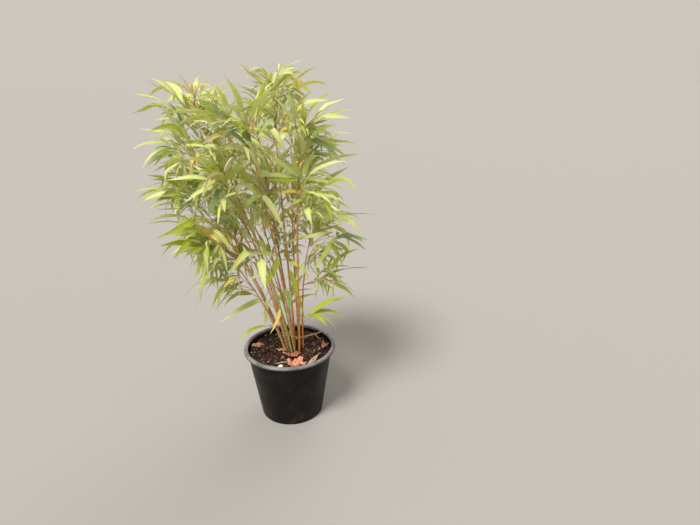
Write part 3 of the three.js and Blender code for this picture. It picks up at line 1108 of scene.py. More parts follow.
class Coat:
    """One material under way: its board, its shader and the coordinates that its patterns read."""

    def __init__(self, name: str, roughness: float, shine: float = 0.5) -> None:
        """Makes the material, with plain values on the shader's own sockets.

        Args:
            name: Its name.
            roughness: Its roughness.
            shine: How strongly it mirrors.
        """
        self.material = bpy.data.materials.new(name)
        self.material.use_nodes = True
        self.board = Board(self.material.node_tree)
        self.shader = self.material.node_tree.nodes["Principled BSDF"].inputs
        self.shader["Roughness"].default_value = roughness
        self.shader["Specular IOR Level"].default_value = shine
        self.place = self.board.add("ShaderNodeTexCoord").outputs["Object"]

    def effect(
        self, kind: type[Effect], place: object = None, **numbers: float
    ) -> bpy.types.bpy_prop_collection:
        """Places a shared effect.

        Args:
            kind: Its kind.
            place: The coordinates that it reads, or None for the object's own.
            numbers: Its inputs by name, with underlines for spaces.

        Returns:
            Its outputs.
        """
        node = self.board.add("ShaderNodeGroup", node_tree=shared(kind).group)
        self.board.put(node.inputs["Place"], place or self.place)
        for name, value in numbers.items():
            node.inputs[name.replace("_", " ")].default_value = value
        return node.outputs

    def part(self, mask: Socket, share: float) -> Socket:
        """A share of a mask."""
        return self.board.math("MULTIPLY", mask, share)

    def colour(self, base: str, *layers: tuple[Socket, float, str]) -> None:
        """Sets the base colour.

        Args:
            base: The lowest layer's code.
            layers: For each layer over it, its mask, its strength and its code.
        """
        shown: object = linear(base)
        for mask, strength, code in layers:
            shown = self.board.blend(self.part(mask, strength), shown, linear(code))
        self.board.put(self.shader["Base Color"], shown)

    def rough(self, value: object) -> None:
        """Joins the roughness."""
        self.board.put(self.shader["Roughness"], value)

    def bump(self, height: object, distance: float, strength: float = 1.0) -> None:
        """Raises the surface by a height's share of a distance in metres."""
        inputs = {"Height": height, "Distance": distance, "Strength": strength}
        self.board.put(self.shader["Normal"], self.board.made("ShaderNodeBump", inputs))


@dataclass(frozen=True)
class Section:
    """A closed outline that is swept along paths, anticlockwise: its points' heights and places across."""

    ARCH = 0.05

    heights: tuple[float, ...]
    across: tuple[float, ...]
    back: tuple[float, ...]

    @classmethod
    def blade(cls, fold: float, thickness: float = 0.06) -> "Section":
        """A thin blade of half width 1, folded up from its midrib, with its back along the last point."""
        middle = (fold - thickness) / 2 + cls.ARCH
        heights = (fold, middle, 0.0, middle, fold, -thickness)
        return cls(heights, (-1.0, -0.5, 0.0, 0.5, 1.0, 0.0), (0.0, 0.0, 0.0, 0.0, 0.0, 1.0))

    @classmethod
    def round(cls, sides: int) -> "Section":
        """A circle of radius 1."""
        return cls(tuple(map(cos, turns(sides))), tuple(map(sin, turns(sides))), (0.0,) * sides)

    def wire(self, name: str) -> Piece:
        """The outline as edges, with each point's place across and whether it is on the back.

        Args:
            name: The object's name.

        Returns:
            The object.
        """
        mesh = bpy.data.meshes.new(name)
        count = len(self.heights)
        points = [(height, across, 0.0) for height, across in zip(self.heights, self.across)]
        mesh.from_pydata(points, [(k, (k + 1) % count) for k in range(count)], [])
        for label, values in (("across", self.across), ("back", self.back)):
            mesh.attributes.new(label, "FLOAT", "POINT").data.foreach_set("value", values)
        return link_object(name, mesh)


class Paths:
    """Lines of points in millimetres that a section is swept along, with values at each point."""

    LABELS = ("width", "along", "dry", "scar", "bloom")

    def __init__(self) -> None:
        """Starts with no paths."""
        self.points: list[np.ndarray] = []
        self.faces: list[np.ndarray] = []
        self.values: dict[str, list[float]] = {label: [] for label in self.LABELS}
        self.edges: list[tuple[int, int]] = []

    def add(self, points: Line, faces: np.ndarray | Line, **values: Sequence[float]) -> None:
        """Adds one path.

        Args:
            points: Its points, in order.
            faces: The direction that the section's height takes, one for all points or one for each.
            values: At each point, any of the labelled values. Without along, that is the share of the points
                passed. The others that are left out are 0.
        """
        first, count = len(self.points), len(points)
        values.setdefault("along", np.linspace(0, 1, count))
        self.points.extend(points)
        self.faces.extend(np.broadcast_to(faces, (count, 3)))
        for label in self.LABELS:
            self.values[label].extend(values.get(label, [0.0] * count))
        self.edges.extend((first + k, first + k + 1) for k in range(count - 1))

    def wire(self, name: str) -> Piece:
        """All paths as edges, in metres.

        Args:
            name: The object's name.

        Returns:
            The object.
        """
        mesh = bpy.data.meshes.new(name)
        mesh.from_pydata((np.array(self.points) * MM).tolist(), self.edges, [])
        for label, values in self.values.items():
            scaled = np.array(values) * (MM if label == "width" else 1.0)
            mesh.attributes.new(label, "FLOAT", "POINT").data.foreach_set("value", scaled)
        faces = mesh.attributes.new("face", "FLOAT_VECTOR", "POINT")
        faces.data.foreach_set("vector", np.array(self.faces).ravel())
        return link_object(name, mesh)


class ShapeTree:
    """A geometry node tree with named inputs, and the way to use it once on an object."""

    def __init__(self, name: str, inputs: dict[str, str]) -> None:
        """Starts the tree.

        Args:
            name: The tree's name.
            inputs: For each input after the geometry, its kind.
        """
        self.tree = bpy.data.node_groups.new(name, "GeometryNodeTree")
        sockets = self.tree.interface
        sockets.new_socket(name="Geometry", in_out="INPUT", socket_type="NodeSocketGeometry")
        self.keys = {
            label: sockets.new_socket(name=label, in_out="INPUT", socket_type=f"NodeSocket{kind}").identifier
            for label, kind in inputs.items()
        }
        sockets.new_socket(name="Geometry", in_out="OUTPUT", socket_type="NodeSocketGeometry")
        self.board = Board(self.tree)
        self.given = self.board.add("NodeGroupInput").outputs
        self.result = self.board.add("NodeGroupOutput").inputs[0]

    def named(self, label: str, kind: str = "FLOAT") -> Socket:
        """The value of an attribute."""
        return self.board.made("GeometryNodeInputNamedAttribute", {"Name": label}, data_type=kind)

    def over(self, value: Socket, limit: object) -> Socket:
        """Whether a value is over a limit."""
        inputs = {"A": value, "B": limit}
        return self.board.made("FunctionNodeCompare", inputs, data_type="FLOAT", operation="GREATER_THAN")

    def painted(self, geometry: object, label: str, selection: object = True) -> Socket:
        """The geometry with the material of a named input on some of its faces."""
        inputs = {"Geometry": geometry, "Selection": selection, "Material": self.given[label]}
        return self.board.made("GeometryNodeSetMaterial", inputs)

    def use(self, piece: Piece, **inputs: object) -> Piece:
        """Runs the tree on an object and keeps the result as its plain mesh.

        Args:
            piece: The object.
            inputs: The tree's inputs by name, with underlines for spaces.

        Returns:
            The object.
        """
        modifier = piece.modifiers.new(self.tree.name, "NODES")
        modifier.node_group = self.tree
        for label, value in inputs.items():
            modifier[self.keys[label.replace("_", " ")]] = value
        return frozen(piece)


class SweepTree(ShapeTree):
    """Sweeps a section along every path of a wire, and gives its face, back and dry parts a material each."""

    SHARP_ANGLE = 50
    LEFT_OVER = ("width", "face", "back", "across", "along", "dry")

    def __init__(self) -> None:
        """Builds the tree."""
        super().__init__("sweep along paths", {
            "Section": "Object",
            "Face": "Material",
            "Back": "Material",
            "Dry": "Material",
        })
        board, given = self.board, self.given
        outline = board.add("GeometryNodeObjectInfo", {"Object": given["Section"]}).outputs["Geometry"]
        profile = board.made("GeometryNodeMeshToCurve", {"Mesh": outline})
        paths = board.made("GeometryNodeMeshToCurve", {"Mesh": given["Geometry"]})
        inputs = {"Curve": paths, "Normal": self.named("face", "FLOAT_VECTOR")}
        turned = board.made("GeometryNodeSetCurveNormal", inputs, mode="FREE")
        swept = board.made("GeometryNodeCurveToMesh", {
            "Curve": turned, "Profile Curve": profile, "Scale": self.named("width"), "Fill Caps": True,
        })
        soft = board.made("GeometryNodeSetShadeSmooth", {"Geometry": swept, "Shade Smooth": True})
        across = board.math("MULTIPLY_ADD", self.named("across"), 0.5, 0.5)
        place = board.made("ShaderNodeCombineXYZ", {"X": across, "Y": self.named("along")})
        inputs = {"Geometry": soft, "Name": "blade", "Value": place}
        mapped = board.made("GeometryNodeStoreNamedAttribute", inputs, data_type="FLOAT2", domain="CORNER")
        whole = board.made("GeometryNodeRealizeInstances", {"Geometry": mapped})
        faced = self.painted(whole, "Face")
        backed = self.painted(faced, "Back", self.over(self.named("back"), 0.2))
        board.put(self.result, self.painted(backed, "Dry", self.over(self.named("dry"), 0.5)))

    def sweep(
        self,
        name: str,
        paths: Paths,
        section: Section,
        face: Material,
        back: Material | None = None,
        dry: Material | None = None,
    ) -> Piece:
        """Makes one piece.

        Args:
            name: Its name.
            paths: Its paths.
            section: The section.
            face: The material of the section's face.
            back: That of its back, or None for the face's.
            dry: That of the dry parts, or None for the face's.

        Returns:
            The piece, as a plain mesh.
        """
        outline = section.wire(f"{name}_section")
        piece = self.use(paths.wire(name), Section=outline, Face=face, Back=back or face, Dry=dry or face)
        piece.data.set_sharp_from_angle(angle=radians(self.SHARP_ANGLE))
        bpy.data.meshes.remove(outline.data)
        for label in self.LEFT_OVER:
            attribute = piece.data.attributes.get(label)
            if attribute:
                piece.data.attributes.remove(attribute)
        return piece


class ScatterTree(ShapeTree):
    """Scatters small shapes over a surface, each turned and sized at random."""

    def __init__(self) -> None:
        """Builds the tree."""
        super().__init__("scatter over a surface", {
            "Shapes": "Collection",
            "Density": "Float",
            "Seed": "Int",
            "Least Size": "Float",
            "Most Size": "Float",
            "Most Tilt": "Float",
            "Lift": "Float",
            "Material": "Material",
        })
        board, given = self.board, self.given
        inputs = {"Mesh": given["Geometry"], "Density": given["Density"], "Seed": given["Seed"]}
        points = board.made("GeometryNodeDistributePointsOnFaces", inputs, distribute_method="RANDOM")
        lift = board.made("ShaderNodeCombineXYZ", {"Z": given["Lift"]})
        raised = board.made("GeometryNodeSetPosition", {"Geometry": points, "Offset": lift})
        inputs = {"Collection": given["Shapes"], "Separate Children": True, "Reset Children": True}
        shapes = board.made("GeometryNodeCollectionInfo", inputs)
        tilt = given["Most Tilt"]
        back = board.math("MULTIPLY", tilt, -1.0)
        low = board.made("ShaderNodeCombineXYZ", {"X": back, "Y": back, "Z": 0.0})
        high = board.made("ShaderNodeCombineXYZ", {"X": tilt, "Y": tilt, "Z": 2 * pi})
        turn = self._random("FLOAT_VECTOR", low, high, 1)
        placed = board.made("GeometryNodeInstanceOnPoints", {
            "Points": raised,
            "Instance": shapes,
            "Pick Instance": True,
            "Instance Index": self._random("INT", 0, 7, 3),
            "Rotation": board.made("FunctionNodeEulerToRotation", {0: turn}),
            "Scale": self._random("FLOAT", given["Least Size"], given["Most Size"], 2),
        })
        whole = board.made("GeometryNodeRealizeInstances", {"Geometry": placed})
        board.put(self.result, self.painted(whole, "Material"))

    def _random(self, kind: str, low: object, high: object, seed: int) -> Socket:
        """A random value for each point."""
        inputs = {"Min": low, "Max": high, "Seed": seed}
        return self.board.made("FunctionNodeRandomValue", inputs, data_type=kind)


@dataclass(frozen=True)
class LeafFinish:
    """One colour of leaf: the face and its deeper tone, the paler back, the rib, and the dried parts."""

    name: str
    face: str
    deep: str
    back: str
    rib: str
    dried: str = "b79560"
    roughness: float = 0.36
    back_roughness: float = 0.16
    dried_roughness: float = 0.3
    glow: float = 0.34
    glow_radius: Spot = (1.0, 1.0, 0.3)
    glow_depth: float = 0.002

    def materials(self) -> dict[str, Material]:
        """The materials.

        Returns:
            Those of the face, the back and the dried parts.
        """
        return {
            "face": self._side("face", self.face, self.deep, 0),
            "back": self._side("back", self.back, self.face, self.back_roughness),
            "dry": self._side("dried", self.dried, self.deep, self.dried_roughness),
        }

    def _side(self, side: str, main: str, deep: str, rougher: float) -> Material:
        """One side's material.

        Args:
            side: The side's name.
            main: The side's main colour.
            deep: The colour of the furrows between its veins.
            rougher: How much rougher it is than the face.

        Returns:
            The material.
        """
        roughness = self.roughness + rougher
        coat = Coat(f"{self.name}_{side}", roughness)
        coat.shader["Subsurface Weight"].default_value = self.glow
        coat.shader["Subsurface Radius"].default_value = self.glow_radius
        coat.shader["Subsurface Scale"].default_value = self.glow_depth
        pattern = coat.effect(BladePattern, coat.board.made("ShaderNodeUVMap", uv_map="blade"))
        coat.colour(
            main,
            (pattern["Veins"], 0.16, deep),
            (pattern["Base"], 0.5, self.rib),
            (pattern["Rib"], 0.45, self.rib),
            (pattern["Edge"], 0.25, self.rib),
        )
        coat.rough(coat.board.spread(pattern["Veins"], 0.0, 1.0, roughness - 0.04, roughness + 0.06))
        coat.bump(pattern["Veins"], 0.00012, 0.6)
        return coat.material


class Tint(Enum):
    """The colours that leaves are dealt out in, a spray at a time."""

    LIME = LeafFinish("leaf_lime", face="bcc670", deep="8ea03e", back="c6ce8c", rib="dce4ae")
    MID = LeafFinish("leaf_mid", face="96a42f", deep="65741c", back="acb65c", rib="c0cb74")
    COOL = LeafFinish("leaf_cool", face="708a4a", deep="4a6334", back="92a676", rib="a8ba88")
    YELLOW = LeafFinish("leaf_yellow", face="dcc048", deep="b09030", back="e2d080", rib="ecdc98")
    DRY = LeafFinish("leaf_dry", face="ccb078", deep="9c7c4c", back="dac49a", rib="e6d6ac", roughness=0.6)

    @classmethod
    def dealt(cls, share: float) -> "Tint":
        """The colour that a share from 0 to 1 falls on."""
        limits = {cls.LIME: 0.5, cls.MID: 0.84, cls.COOL: 0.94, cls.YELLOW: 0.985, cls.DRY: 1.01}
        return next(tint for tint, limit in limits.items() if share < limit)


@dataclass(frozen=True)
class CaneFinish:
    """One colour of cane skin: streaks and patches, with a dark scar and pale bloom at each joint."""

    name: str
    main: str
    streak: str
    patch: str
    scar: str = "4a2c1c"
    bloom: str = "cdb693"
    roughness: float = 0.38

    def material(self) -> Material:
        """Makes the material.

        Returns:
            The material.
        """
        coat = Coat(self.name, self.roughness)
        fibre = coat.effect(Fibre)
        scar, bloom = (
            coat.board.add("ShaderNodeAttribute", attribute_name=label).outputs["Fac"]
            for label in ("scar", "bloom")
        )
        coat.colour(
            self.main,
            (fibre["Streaks"], 0.55, self.streak),
            (fibre["Patches"], 0.6, self.patch),
            (bloom, 0.5, self.bloom),
            (scar, 0.85, self.scar),
        )
        coat.rough(coat.board.spread(fibre["Streaks"], 0.0, 1.0, 0.3, 0.48))
        coat.bump(fibre["Streaks"], 0.0001, 0.5)
        return coat.material


class Skin(Enum):
    """The colours that canes and twigs come in."""

    AMBER = CaneFinish("cane_amber", main="cb7e2c", streak="8f521a", patch="dea452")
    TAN = CaneFinish("cane_tan", main="c0955c", streak="8a6440", patch="d2ae78")
    ROSE = CaneFinish("cane_rose", main="a36c4e", streak="74453a", patch="bd9276")
    GREEN = CaneFinish("cane_green", main="9ea24e", streak="747c38", patch="bab26a")


@dataclass(frozen=True)
class DryFinish:
    """A dry, grainy finish in two tones, for dead leaves, bark, compost and stone."""

    name: str
    main: str
    dark: str
    roughness: float = 0.78
    scale: float = 260
    relief: float = 0.0004

    def material(self) -> Material:
        """Makes the material.

        Returns:
            The material.
        """
        coat = Coat(self.name, self.roughness, 0.3)
        grain = coat.board.noise(coat.place, self.scale, 4.0)
        patches = coat.board.noise(coat.place, self.scale / 6, 2.0)
        coat.colour(
            self.main,
            (coat.board.spread(grain, 0.35, 0.7), 1.0, self.dark),
            (coat.board.spread(patches, 0.5, 0.8), 0.5, self.dark),
        )
        coat.bump(grain, self.relief, 0.7)
        return coat.material


@dataclass(frozen=True)
class CompostFinish:
    """Dark potting compost, moist and fibrous."""

    main: str = "1a1210"
    lump: str = "36251f"
    strand: str = "5b4238"

    def material(self) -> Material:
        """Makes the material.

        Returns:
            The material.
        """
        coat = Coat("compost", 0.88, 0.25)
        lumps = coat.board.noise(coat.place, 120.0, 5.0, 0.65)
        strands = coat.board.noise(coat.board.stretched(coat.place, (1.0, 0.25, 1.0)), 420.0)
        coat.colour(
            self.main,
            (coat.board.spread(lumps, 0.4, 0.7), 1.0, self.lump),
            (coat.board.spread(strands, 0.58, 0.72), 0.6, self.strand),
        )
        coat.bump(lumps, 0.003, 0.9)
        return coat.material


@dataclass(frozen=True)
class PlasticFinish:
    """The pot's black plastic: satin, streaked from its mould, dusty low down, its lip paler: part scuffs,
    part painted highlight.
    """

    main: str = "0e0c0c"
    streak: str = "1d1817"
    dust: str = "5e4e42"
    # painted highlight: the lip's pale grey stands partly for scuffs and partly for the sky's reflection on
    # the rolled lip
    lip: str = "a6a4a5"
    lip_sheen_heights: Span = (0.1752, 0.1815)

    def material(self) -> Material:
        """Makes the material.

        Returns:
            The material.
        """
        coat = Coat("pot_plastic", 0.42, 0.14)
        board = coat.board
        fibre = coat.effect(Fibre, Streak_Scale=260.0, Streak_Rise=0.05, Patch_Scale=14.0)
        grime = coat.effect(Grime, Patch_Scale=26.0, Speck_Scale=420.0, Stain_Height=0.075)
        stain = board.math("MULTIPLY", grime["Stain"], coat.part(grime["Patches"], 0.55))
        spots = board.math("MAXIMUM", coat.part(grime["Specks"], 0.3), coat.part(grime["Patches"], 0.1))
        dirt = board.math("MAXIMUM", stain, spots, clamp=True)
        height = board.add("ShaderNodeSeparateXYZ", {0: coat.place}).outputs["Z"]
        # painted highlight: the top of the lip is lightened in ragged patches, partly as scuffing and partly
        # as the sky's sheen on it
        sheen_and_scuffs = board.spread(board.noise(coat.place, 34.0, 4.0), 0.3, 0.65, 0.45, 1.0)
        lip = board.math("MULTIPLY", board.spread(height, *self.lip_sheen_heights), sheen_and_scuffs)
        coat.colour(
            self.main,
            (fibre["Streaks"], 0.5, self.streak),
            (dirt, 1.0, self.dust),
            (lip, 0.62, self.lip),
        )
        satin = board.spread(fibre["Patches"], 0.0, 1.0, 0.36, 0.48)
        coat.rough(board.math("MULTIPLY_ADD", dirt, 0.5, satin, clamp=True))
        grain = board.noise(coat.place, 900.0)
        coat.bump(board.math("MULTIPLY_ADD", fibre["Streaks"], 0.6, grain), 0.00018, 0.5)
        return coat.material


def dress(piece: Piece, nodes: Sequence[str] = ()) -> None:
    """Fastens a finished piece to the frame.

    Args:
        piece: The piece.
        nodes: The frame's solids that it stands for.
    """
    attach(piece, BODY)
    if nodes:
        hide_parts(*nodes)
    triangles = sum(len(face.vertices) - 2 for face in piece.data.polygons)
    log.info("%s: %d triangles", piece.name, triangles)


@dataclass
class Pot:
    """The pot: a tapering wall under a rolled rim, and a floor with drainage holes."""

    height: float = 183
    rim_radius: float = 112.5
    rim_width: float = 9.5
    rim_drop: float = 8
    rim_round: float = 4.2
    wall_top_radius: float = 104
    base_radius: float = 77.5
    base_round: float = 2.6
    wall: float = 1.6
    floor: float = 2.4
    foot_width: float = 9
    foot_rise: float = 1
    drain_count: int = 8
    drain_radius: float = 6.5
    drain_ring: float = 58
    drain_sides: int = 20
    sides: int = 144
    wall_bands: tuple[float, ...] = (0.2, 0.4, 0.6, 0.8, 0.97)
    inner_bands: Spot = (1.0, 0.66, 0.33)
    sway: float = 0.5
    sway_turn: float = 0.7
    arc_steps: int = 5
    sharp_angle: float = 38

    def inner_radius(self, height: float) -> float:
        """The radius of the wall's inside at a height."""
        share = (height - self.floor) / (self.height - self.rim_drop - self.floor)
        return mix(self.base_radius, self.wall_top_radius, share) - self.wall

    def build(self) -> None:
        """Makes the pot and dresses it."""
        rings = [[(0.0, 0.0, self.foot_rise)]]
        rings += [self._ring(radius, height) for radius, height in self._outline()]
        rings += [[(0.0, 0.0, self.floor)]]
        pot = link_object("nursery_pot", mesh_of("nursery_pot", *ringed(rings)))
        pegs = self._pegs()
        modifier = pot.modifiers.new("drainage", "BOOLEAN")
        modifier.object = pegs
        modifier.operation = "DIFFERENCE"
        modifier.solver = "EXACT"
        frozen(pot)
        bpy.data.meshes.remove(pegs.data)
        pot.data.set_sharp_from_angle(angle=radians(self.sharp_angle))
        pot.data.materials.clear()
        pot.data.materials.append(PlasticFinish().material())
        dress(pot, ["pot"])

    def _outline(self) -> list[Span]:
        """The outline from the underside out, up the wall, over the rim and down inside.

        Returns:
            Each point's radius and height.
        """
        rim_foot = self.height - self.rim_drop
        lip_round = self.rim_round / 2
        foot = self.base_radius - self.foot_width
        outline = [(foot - self.foot_rise, self.foot_rise), (foot, 0.0)]
        outline += self._arc(self.base_radius - self.base_round, self.base_round, self.base_round, -90, 0)
        for share in self.wall_bands:
            radius = mix(self.base_radius, self.wall_top_radius, share)
            outline.append((radius, mix(self.base_round, rim_foot, share)))
        outline += self._arc(self.rim_radius - lip_round, rim_foot + lip_round, lip_round, -90, 0)
        lip = self.height - self.rim_round
        outline += self._arc(self.rim_radius - self.rim_round, lip, self.rim_round, 0, 90)
        inner_lip = self.rim_radius - self.rim_width + lip_round
        outline += self._arc(inner_lip, self.height - lip_round, lip_round, 90, 180)
        for share in self.inner_bands:
            height = mix(self.floor, rim_foot, share)
            outline.append((self.inner_radius(height), height))
        outline.append((self.inner_radius(self.floor) - self.wall, self.floor))
        return outline

    def _arc(self, centre: float, height: float, radius: float, start: float, end: float) -> list[Span]:
        """Points round part of a circle in the outline, between two angles in degrees."""
        angles = np.radians(np.linspace(start, end, self.arc_steps + 1))
        return [(centre + radius * cos(angle), height + radius * sin(angle)) for angle in angles]

    def _ring(self, radius: float, height: float) -> list[Spot]:
        """A ring round the pot, a little out of round toward the top, as soft plastic goes.

        Args:
            radius: Its radius.
            height: Its height.

        Returns:
            Its points.
        """
        ring = []
        for turn in turns(self.sides):
            reach = radius + self.sway * (height / self.height) ** 2 * sin(2 * turn + self.sway_turn)
            ring.append((reach * cos(turn), reach * sin(turn), height))
        return ring

    def _pegs(self) -> Piece:
        """A ring of round pegs that cut the drainage holes.

        Returns:
            The pegs, as one object.
        """
        points, faces = [], []
        for hole in range(self.drain_count):
            turn = 2 * pi * (hole + 0.5) / self.drain_count
            x, y = self.drain_ring * cos(turn), self.drain_ring * sin(turn)
            reach = self.drain_radius
            edge = [(x + reach * cos(angle), y + reach * sin(angle)) for angle in turns(self.drain_sides)]
            low, high = -self.floor, 2 * self.floor
            rings = [[(x, y, low)], [(*place, low) for place in edge]]
            rings += [[(*place, high) for place in edge], [(x, y, high)]]
            new_points, new_faces = ringed(rings)
            faces += [tuple(len(points) + k for k in face) for face in new_faces]
            points += new_points
        return link_object("drainage_pegs", mesh_of("drainage_pegs", points, faces, soft=False))


class Form(Enum):
    """The shapes of loose bits: sides, how flat they may be, and the radius and height of each ring."""

    CRUMB = (6, (0.6, 1.0), ((0.0, -0.55), (0.75, -0.3), (0.95, 0.12), (0.5, 0.5), (0.0, 0.62)))
    FLAKE = (7, (0.45, 0.9), ((0.0, -0.1), (1.0, -0.1), (1.0, 0.08), (0.0, 0.12)))
    STRAND = (3, (1.0, 1.0), ())


@dataclass(frozen=True)
class Scrap:
    """One kind of loose bit: its form, finish, count for each square metre, sizes and lie."""

    name: str
    form: Form
    finish: DryFinish
    density: float
    sizes: Span
    tilt: float
    lift: float
    seed: int


@dataclass
class Compost:
    """The fill: a lumpy top a little below the rim, with crumbs, bark and straw lying on it."""

    pot: Pot
    top: float = 167
    mound: float = 3.5
    mound_radius: float = 60
    mound_x: float = 8
    lump: float = 3.4
    lump_size: float = 16
    lump_layer: float = 3
    grain: float = 1.6
    grain_size: float = 5
    grain_layer: float = 9
    edge_gap: float = 0.25
    rings: int = 46
    sectors: int = 110
    shapes: int = 4
    scraps: tuple[Scrap, ...] = (
        Scrap("compost_crumbs", Form.CRUMB, DryFinish("crumb_dark", "30211c", "150e0d", 0.9),
              36000, (0.9, 3.2), 0.9, 0.3, 11),
        Scrap("compost_lumps", Form.CRUMB, DryFinish("crumb_brown", "5a4037", "33221f", 0.9),
              11000, (0.8, 2.6), 0.9, 0.6, 12),
        Scrap("bark_flakes", Form.FLAKE, DryFinish("bark", "80503d", "4d2c25"),
              5600, (1.4, 4.6), 0.5, 1.0, 13),
        Scrap("pale_flakes", Form.FLAKE, DryFinish("pale_bark", "bb947a", "85634f"),
              1900, (1.2, 3.6), 0.6, 1.2, 14),
        Scrap("straw_bits", Form.STRAND, DryFinish("straw_bit", "b39377", "7c5f48"),
              1100, (0.5, 1.3), 0.35, 1.6, 15),
        Scrap("root_bits", Form.STRAND, DryFinish("root_bit", "6e4a3c", "3e2824"),
              3400, (0.4, 1.1), 0.4, 1.2, 16),
        Scrap("grit", Form.CRUMB, DryFinish("grit", "d8d2c6", "a39b8d", 0.6),
              420, (0.7, 1.4), 0.9, 1.4, 17),
    )

    def height(self, x: float, y: float) -> float:
        """The top's height at a place.

        Args:
            x: The place's X.
            y: The place's Y.

        Returns:
            The height.
        """
        near = 1 - hypot(x - self.mound_x, y) / self.mound_radius
        lumps = noise.noise(Vector((x, y, self.lump_layer)) / self.lump_size) * self.lump
        grains = noise.noise(Vector((x, y, self.grain_layer)) / self.grain_size) * self.grain
        return self.top + self.mound * smooth(near) + lumps + grains

    def build(self) -> None:
        """Makes the fill and what lies loose on it."""
        reach = self.pot.inner_radius(self.top) - self.edge_gap
        surface = [[(0.0, 0.0, self.height(0, 0))]]
        surface += [self._ring(reach * k / self.rings) for k in range(1, self.rings + 1)]
        bottom = self.pot.floor + self.edge_gap
        foot = self.pot.inner_radius(bottom) - 2 * self.pot.wall
        skirt = [(foot * cos(turn), foot * sin(turn), bottom) for turn in turns(self.sectors)]
        rings = [[(0.0, 0.0, bottom)], skirt, *reversed(surface)]
        fill = link_object("compost_fill", mesh_of("compost_fill", *ringed(rings)))
        fill.data.materials.append(CompostFinish().material())
        dress(fill, ["compost"])
        top = ringed(list(reversed(surface)))
        for scrap in self.scraps:
            self._strew(scrap, top)

    def _ring(self, radius: float) -> list[Spot]:
        """A ring of the top."""
        places = [(radius * cos(turn), radius * sin(turn)) for turn in turns(self.sectors)]
        return [(x, y, self.height(x, y)) for x, y in places]

    def _strew(self, scrap: Scrap, top: tuple[list, list]) -> None:
        """Scatters one kind of loose bit over the top.

        Args:
            scrap: The kind.
            top: The points and faces of the top.
        """
        shapes = bpy.data.collections.new(scrap.name)
        for number in range(self.shapes):
            mesh = self._shape(scrap.form, Draws(scrap.seed, number))
            shapes.objects.link(bpy.data.objects.new(mesh.name, mesh))
        piece = link_object(scrap.name, mesh_of(scrap.name, *top))
        shared(ScatterTree).use(
            piece,
            Shapes=shapes,
            Density=float(scrap.density),
            Seed=scrap.seed,
            Least_Size=scrap.sizes[0],
            Most_Size=scrap.sizes[1],
            Most_Tilt=scrap.tilt,
            Lift=scrap.lift * MM,
            Material=scrap.finish.material(),
        )
        for shape in list(shapes.objects):
            bpy.data.meshes.remove(shape.data)
        bpy.data.collections.remove(shapes)
        dress(piece)

    @staticmethod
    def _shape(form: Form, random: Draws) -> bpy.types.Mesh:
        """One loose bit about 1 mm in radius.

        Args:
            form: Its form.
            random: The draws that it is shaped by.

        Returns:
            Its mesh.
        """
        if form is Form.STRAND:
            return Compost._strand(random)
        sides, flatness, outline = form.value
        flat = random.between(*flatness)
        rings = []
        for radius, height in outline:
            ring = [] if radius else [(0.0, 0.0, height)]
            for turn in turns(sides if radius else 0):
                reach = radius * random.between(0.7, 1.15)
                rise = height + 0.2 * random.between(-1, 1)
                ring.append((reach * cos(turn), reach * flat * sin(turn), rise))
            rings.append(ring)
        return mesh_of(form.name, *ringed(rings), soft=False)

    @staticmethod
    def _strand(random: Draws) -> bpy.types.Mesh:
        """A thin bent strand, 20 mm long.

        Args:
            random: The draws that it is shaped by.

        Returns:
            Its mesh.
        """
        half, end = 10, 10.2
        bend = random.between(-0.35, 0.35)
        rings = [[(-end, 0.0, 0.0)]]
        for share in np.linspace(-1, 1, 5):
            x, y = half * share, half * bend * (1 - share * share)
            z = random.between(-0.3, 0.5)
            rings.append([(x, y + 0.5 * cos(a), z + 0.32 * sin(a)) for a in (0.0, 2.1, 4.2)])
        rings.append([(end, 0.0, 0.0)])
        return mesh_of(Form.STRAND.name, *ringed(rings), soft=False)


@dataclass(frozen=True)
class Straw:
    """A strip of straw or a dead stalk: its ends as X and Y, how high each lies, half width and sag."""

    start: Span
    end: Span
    lift: Span = (1.5, 2.5)
    width: float = 1.2
    bow: float = 3


@dataclass(frozen=True)
class FallenLeaf:
    """A dry, curled leaf: its centre and half sizes on the compost, its lift, curl, crumple and colours."""

    name: str
    centre: Span
    size: Span
    lift: float
    curl: float
    crumple: float
    main: str
    dark: str
    key: int


